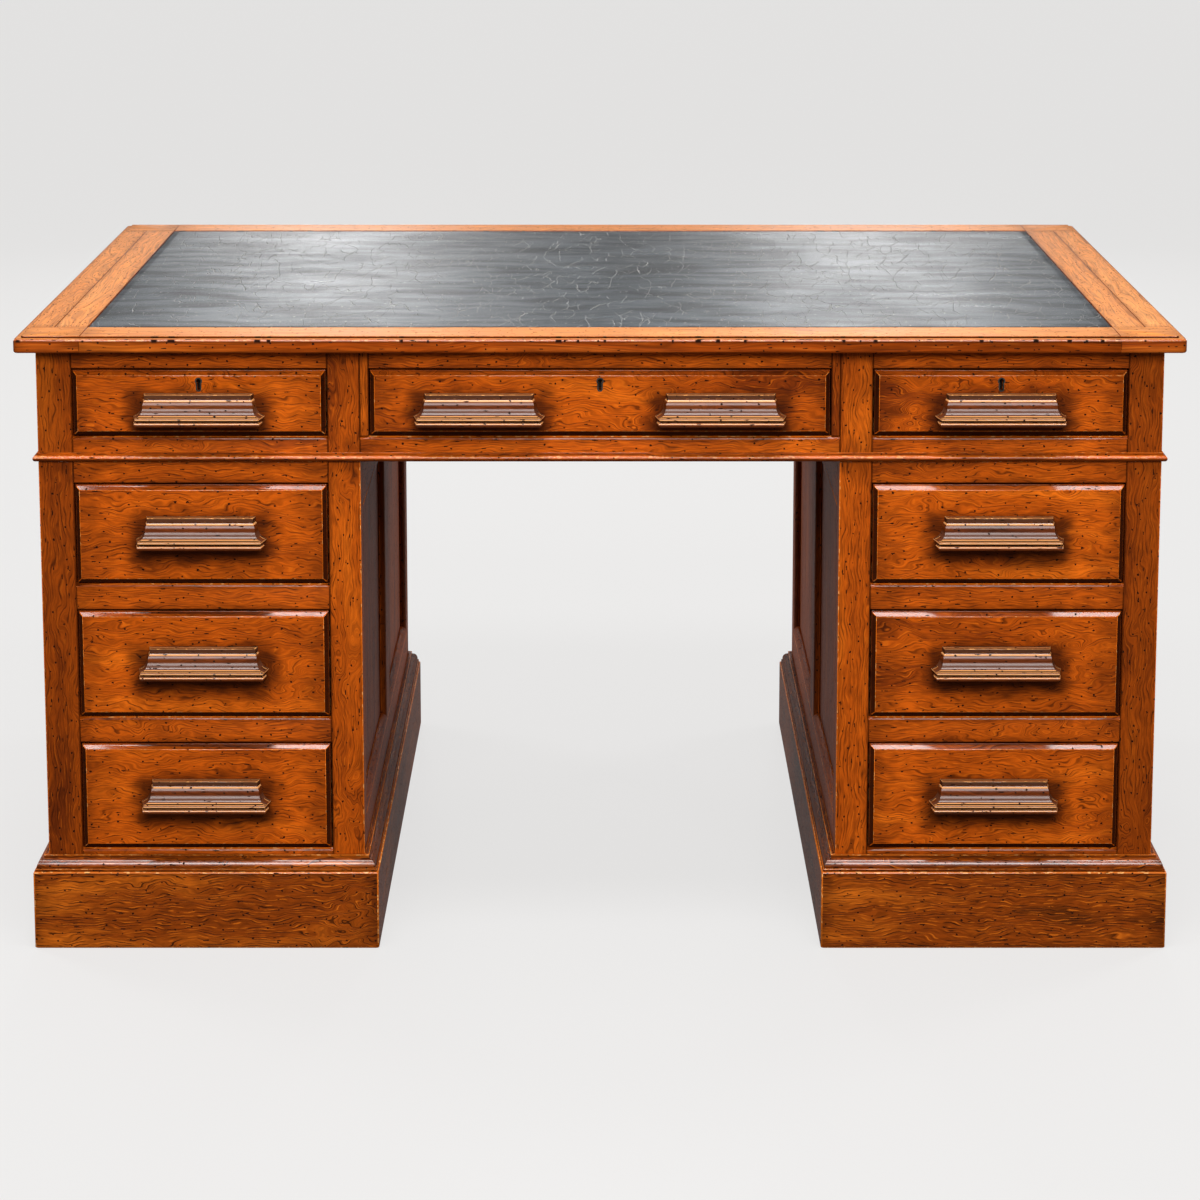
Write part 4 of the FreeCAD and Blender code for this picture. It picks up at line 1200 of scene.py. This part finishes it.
def set_room(stage):
    """The room's soft light, brighter where it is seen or mirrored."""
    bpy.context.scene.view_settings.view_transform = "Standard"
    world = bpy.data.worlds.new("room")
    bpy.context.scene.world = world
    world.use_nodes = True
    world.node_tree.nodes.clear()
    graph = Graph(world.node_tree)
    path = graph.add("ShaderNodeLightPath").outputs
    mirrored = graph.most(path["Is Glossy Ray"], path["Is Transmission Ray"])
    strength = graph.linear(mirrored, 1.0 - stage.room_fill, stage.room_fill)
    strength = graph.linear(path["Is Camera Ray"], FAR_GLOW - stage.room_fill, strength)
    light = graph.out("ShaderNodeBackground", {"Color": opaque(stage.room), "Strength": strength})
    graph.add("ShaderNodeOutputWorld", {"Surface": light})


def set_floor(stage):
    """A wide pale floor that glows in the room's colour and keeps the desk's shadow."""
    bm = bmesh.new()
    bmesh.ops.create_grid(bm, x_segments=2, y_segments=2, size=FLOOR_HALF)
    floor = link_new("floor", plain_mesh(bm, "floor"))
    graph = new_material("pale floor")
    path = graph.add("ShaderNodeLightPath").outputs
    seen = graph.most(*(path[f"Is {ray} Ray"] for ray in ("Camera", "Glossy", "Transmission")))
    close_material(graph, {
        "Base Color": opaque(FLOOR_SHARE * channel for channel in stage.room),
        "Roughness": FLOOR_ROUGHNESS,
        "Emission Color": opaque(stage.room),
        "Emission Strength": graph.times(seen, FLOOR_GLOW),
    })
    floor.data.materials.append(finish_material("pale floor"))


# Operators

class DESK_OT_finishes(bpy.types.Operator):
    """Make the timber, leather and metal finishes and the trees of what repeats"""
    bl_idname = "desk.finishes"
    bl_label = "Finishes"
    bl_options = {"REGISTER", "UNDO"}

    def execute(self, context):
        make_materials()
        dovetail_tree()
        screw_tree()
        return {"FINISHED"}


class DESK_OT_top(bpy.types.Operator):
    """Dress the border boards and the core of the top, and lay the leather"""
    bl_idname = "desk.top"
    bl_label = "Top"
    bl_options = {"REGISTER", "UNDO"}

    def execute(self, context):
        sizes = context.scene.desk_sizes
        dress("top_border", sizes.fine_arris, "top_wood", soil=step_soil)
        dress("top_core", sizes.arris, "inner_wood")
        leather_sheet()
        return {"FINISHED"}


class DESK_OT_carcass(bpy.types.Operator):
    """Dress the posts, rails, panels and inner boards of the frieze and the pedestals"""
    bl_idname = "desk.carcass"
    bl_label = "Carcass"
    bl_options = {"REGISTER", "UNDO"}

    def execute(self, context):
        arris = context.scene.desk_sizes.arris
        # Up-facing arrises of the side panels and rails are painted bright as a highlight; the posts' free
        # arrises are worn.
        rub_and_light_tests = {"frieze_posts": outer_edge, "pedestal_posts": free_edge, "side_panels": upper_edge}
        for node, rub in rub_and_light_tests.items():
            dress(node, arris, "case_wood", soil=case_soil, rub=rub)
        for node in ("frieze_rails", "pedestal_rails"):
            dress(node, arris, "case_wood", nose=under_drawer(node), soil=case_soil, rub=upper_edge,
                  shortest=MORTISE_RUN)
        for node in ("frieze_interior", "pedestal_interiors"):
            dress(node, arris, "inner_wood")
        return {"FINISHED"}


class DESK_OT_mouldings(bpy.types.Operator):
    """Dress the waist bead, the plinths and their mouldings"""
    bl_idname = "desk.mouldings"
    bl_label = "Mouldings"
    bl_options = {"REGISTER", "UNDO"}

    def execute(self, context):
        sizes = context.scene.desk_sizes
        dress("waist_bead", sizes.fine_arris, "case_wood", "bead_wood", soil=bead_soil)
        dress("plinth_mouldings", sizes.fine_arris, "plinth_wood", soil=plinth_soil)
        dress("plinth_boards", PLINTH_ARRIS * sizes.arris, "plinth_wood", soil=plinth_soil)
        return {"FINISHED"}


class DESK_OT_drawers(bpy.types.Operator):
    """Dress the drawers: fronts with handling dirt and painted shadow round the pulls, boxes, and dovetails at
    their corners
    """
    bl_idname = "desk.drawers"
    bl_label = "Drawers"
    bl_options = {"REGISTER", "UNDO"}

    def execute(self, context):
        sizes = context.scene.desk_sizes
        for name in DRAWERS:
            front = dress(name + FRONT_END, sizes.fine_arris, "case_wood", "drawer_wood", soil=bevel_soil,
                          rub=field_edge)
            mark_pulls(front, name)
            dress(name + "_drawer_box", sizes.arris, "inner_wood")
            dovetails(name)
        return {"FINISHED"}


class DESK_OT_pulls(bpy.types.Operator):
    """Dress the moulded wooden pulls"""
    bl_idname = "desk.pulls"
    bl_label = "Pulls"
    bl_options = {"REGISTER", "UNDO"}

    def execute(self, context):
        for name in DRAWERS:
            dress(name + "_drawer_pull", context.scene.desk_sizes.fine_arris, "pull_wood")
        return {"FINISHED"}


class DESK_OT_locks(bpy.types.Operator):
    """Dress the locks and their bolts, and set the screws of their cases"""
    bl_idname = "desk.locks"
    bl_label = "Locks"
    bl_options = {"REGISTER", "UNDO"}

    def execute(self, context):
        arris = context.scene.desk_sizes.metal_arris
        for name in LOCKED:
            lock = name + "_lock"
            dress(lock, arris, "lock_metal")
            dress(name + "_bolt", arris, "brass")
            low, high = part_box(lock)
            points = [(Vector((x, high.y, high.z - drop)), ACROSS, BACKWARD)
                      for x in (low.x + SCREW_INSET, high.x - SCREW_INSET) for drop in LOCK_SCREW_DROPS]
            screws(lock + "_screws", points, BODY_OF[lock], "lock_metal")
        return {"FINISHED"}


class DESK_OT_doors(bpy.types.Operator):
    """Dress the rear doors and their hinges, and set the screws of the hinge leaves"""
    bl_idname = "desk.doors"
    bl_label = "Doors"
    bl_options = {"REGISTER", "UNDO"}

    def execute(self, context):
        sizes = context.scene.desk_sizes
        fixed = "door_hinges_fixed"
        dress(fixed, sizes.metal_arris, "brass")
        screws("fixed_hinge_screws", leaf_screws(fixed, -1), BODY_OF[fixed], "brass")
        for side in ("left", "right"):
            leaves = side + "_door_hinge_leaves"
            dress(side + "_door", sizes.arris, "case_wood", soil=case_soil)
            dress(leaves, sizes.metal_arris, "brass")
            screws(side + "_hinge_screws", leaf_screws(leaves, 1), BODY_OF[leaves], "brass")
        return {"FINISHED"}


class DESK_OT_stage(bpy.types.Operator):
    """Set the camera, the lamps and the pale floor"""
    bl_idname = "desk.stage"
    bl_label = "Stage"
    bl_options = {"REGISTER", "UNDO"}

    def execute(self, context):
        stage = context.scene.desk_stage
        set_camera(stage)
        set_room(stage)
        set_floor(stage)
        set_lamp("key lamp", KEY_LAMP, stage.key_power)
        set_lamp("front lamp", FRONT_LAMP, stage.front_power)
        for side in (-1, 1):
            set_lamp("back lamp", BACK_LAMP, stage.back_power, side)
            set_lamp("side lamp", SIDE_LAMP, stage.side_power, side)
        return {"FINISHED"}


OPERATORS = (DESK_OT_finishes, DESK_OT_top, DESK_OT_carcass, DESK_OT_mouldings, DESK_OT_drawers,
             DESK_OT_pulls, DESK_OT_locks, DESK_OT_doors, DESK_OT_stage)
VALUES = {"desk_sizes": DeskSizes, "desk_colours": DeskColours, "desk_stage": DeskStage}


class DESK_PT_panel(bpy.types.Panel):
    """Sidebar list of the desk's pieces and values"""
    bl_idname = "DESK_PT_panel"
    bl_label = "Partners Desk"
    bl_space_type = "VIEW_3D"
    bl_region_type = "UI"
    bl_category = "Desk"

    def draw(self, context):
        for operator in OPERATORS:
            self.layout.operator(operator.bl_idname)
        for group in VALUES:
            values = getattr(context.scene, group)
            box = self.layout.box()
            for name in values.bl_rna.properties.keys():
                if name not in ("rna_type", "name"):
                    box.prop(values, name)


def register():
    for kind in (*VALUES.values(), *OPERATORS, DESK_PT_panel):
        bpy.utils.register_class(kind)
    for name, group in VALUES.items():
        setattr(bpy.types.Scene, name, bpy.props.PointerProperty(type=group))


def unregister():
    for name in VALUES:
        delattr(bpy.types.Scene, name)
    for kind in (DESK_PT_panel, *reversed(OPERATORS), *VALUES.values()):
        bpy.utils.unregister_class(kind)


def main():
    register()
    for operator in OPERATORS:
        getattr(bpy.ops.desk, operator.bl_idname.split(".")[1])()


if __name__ == "__main__":
    main()
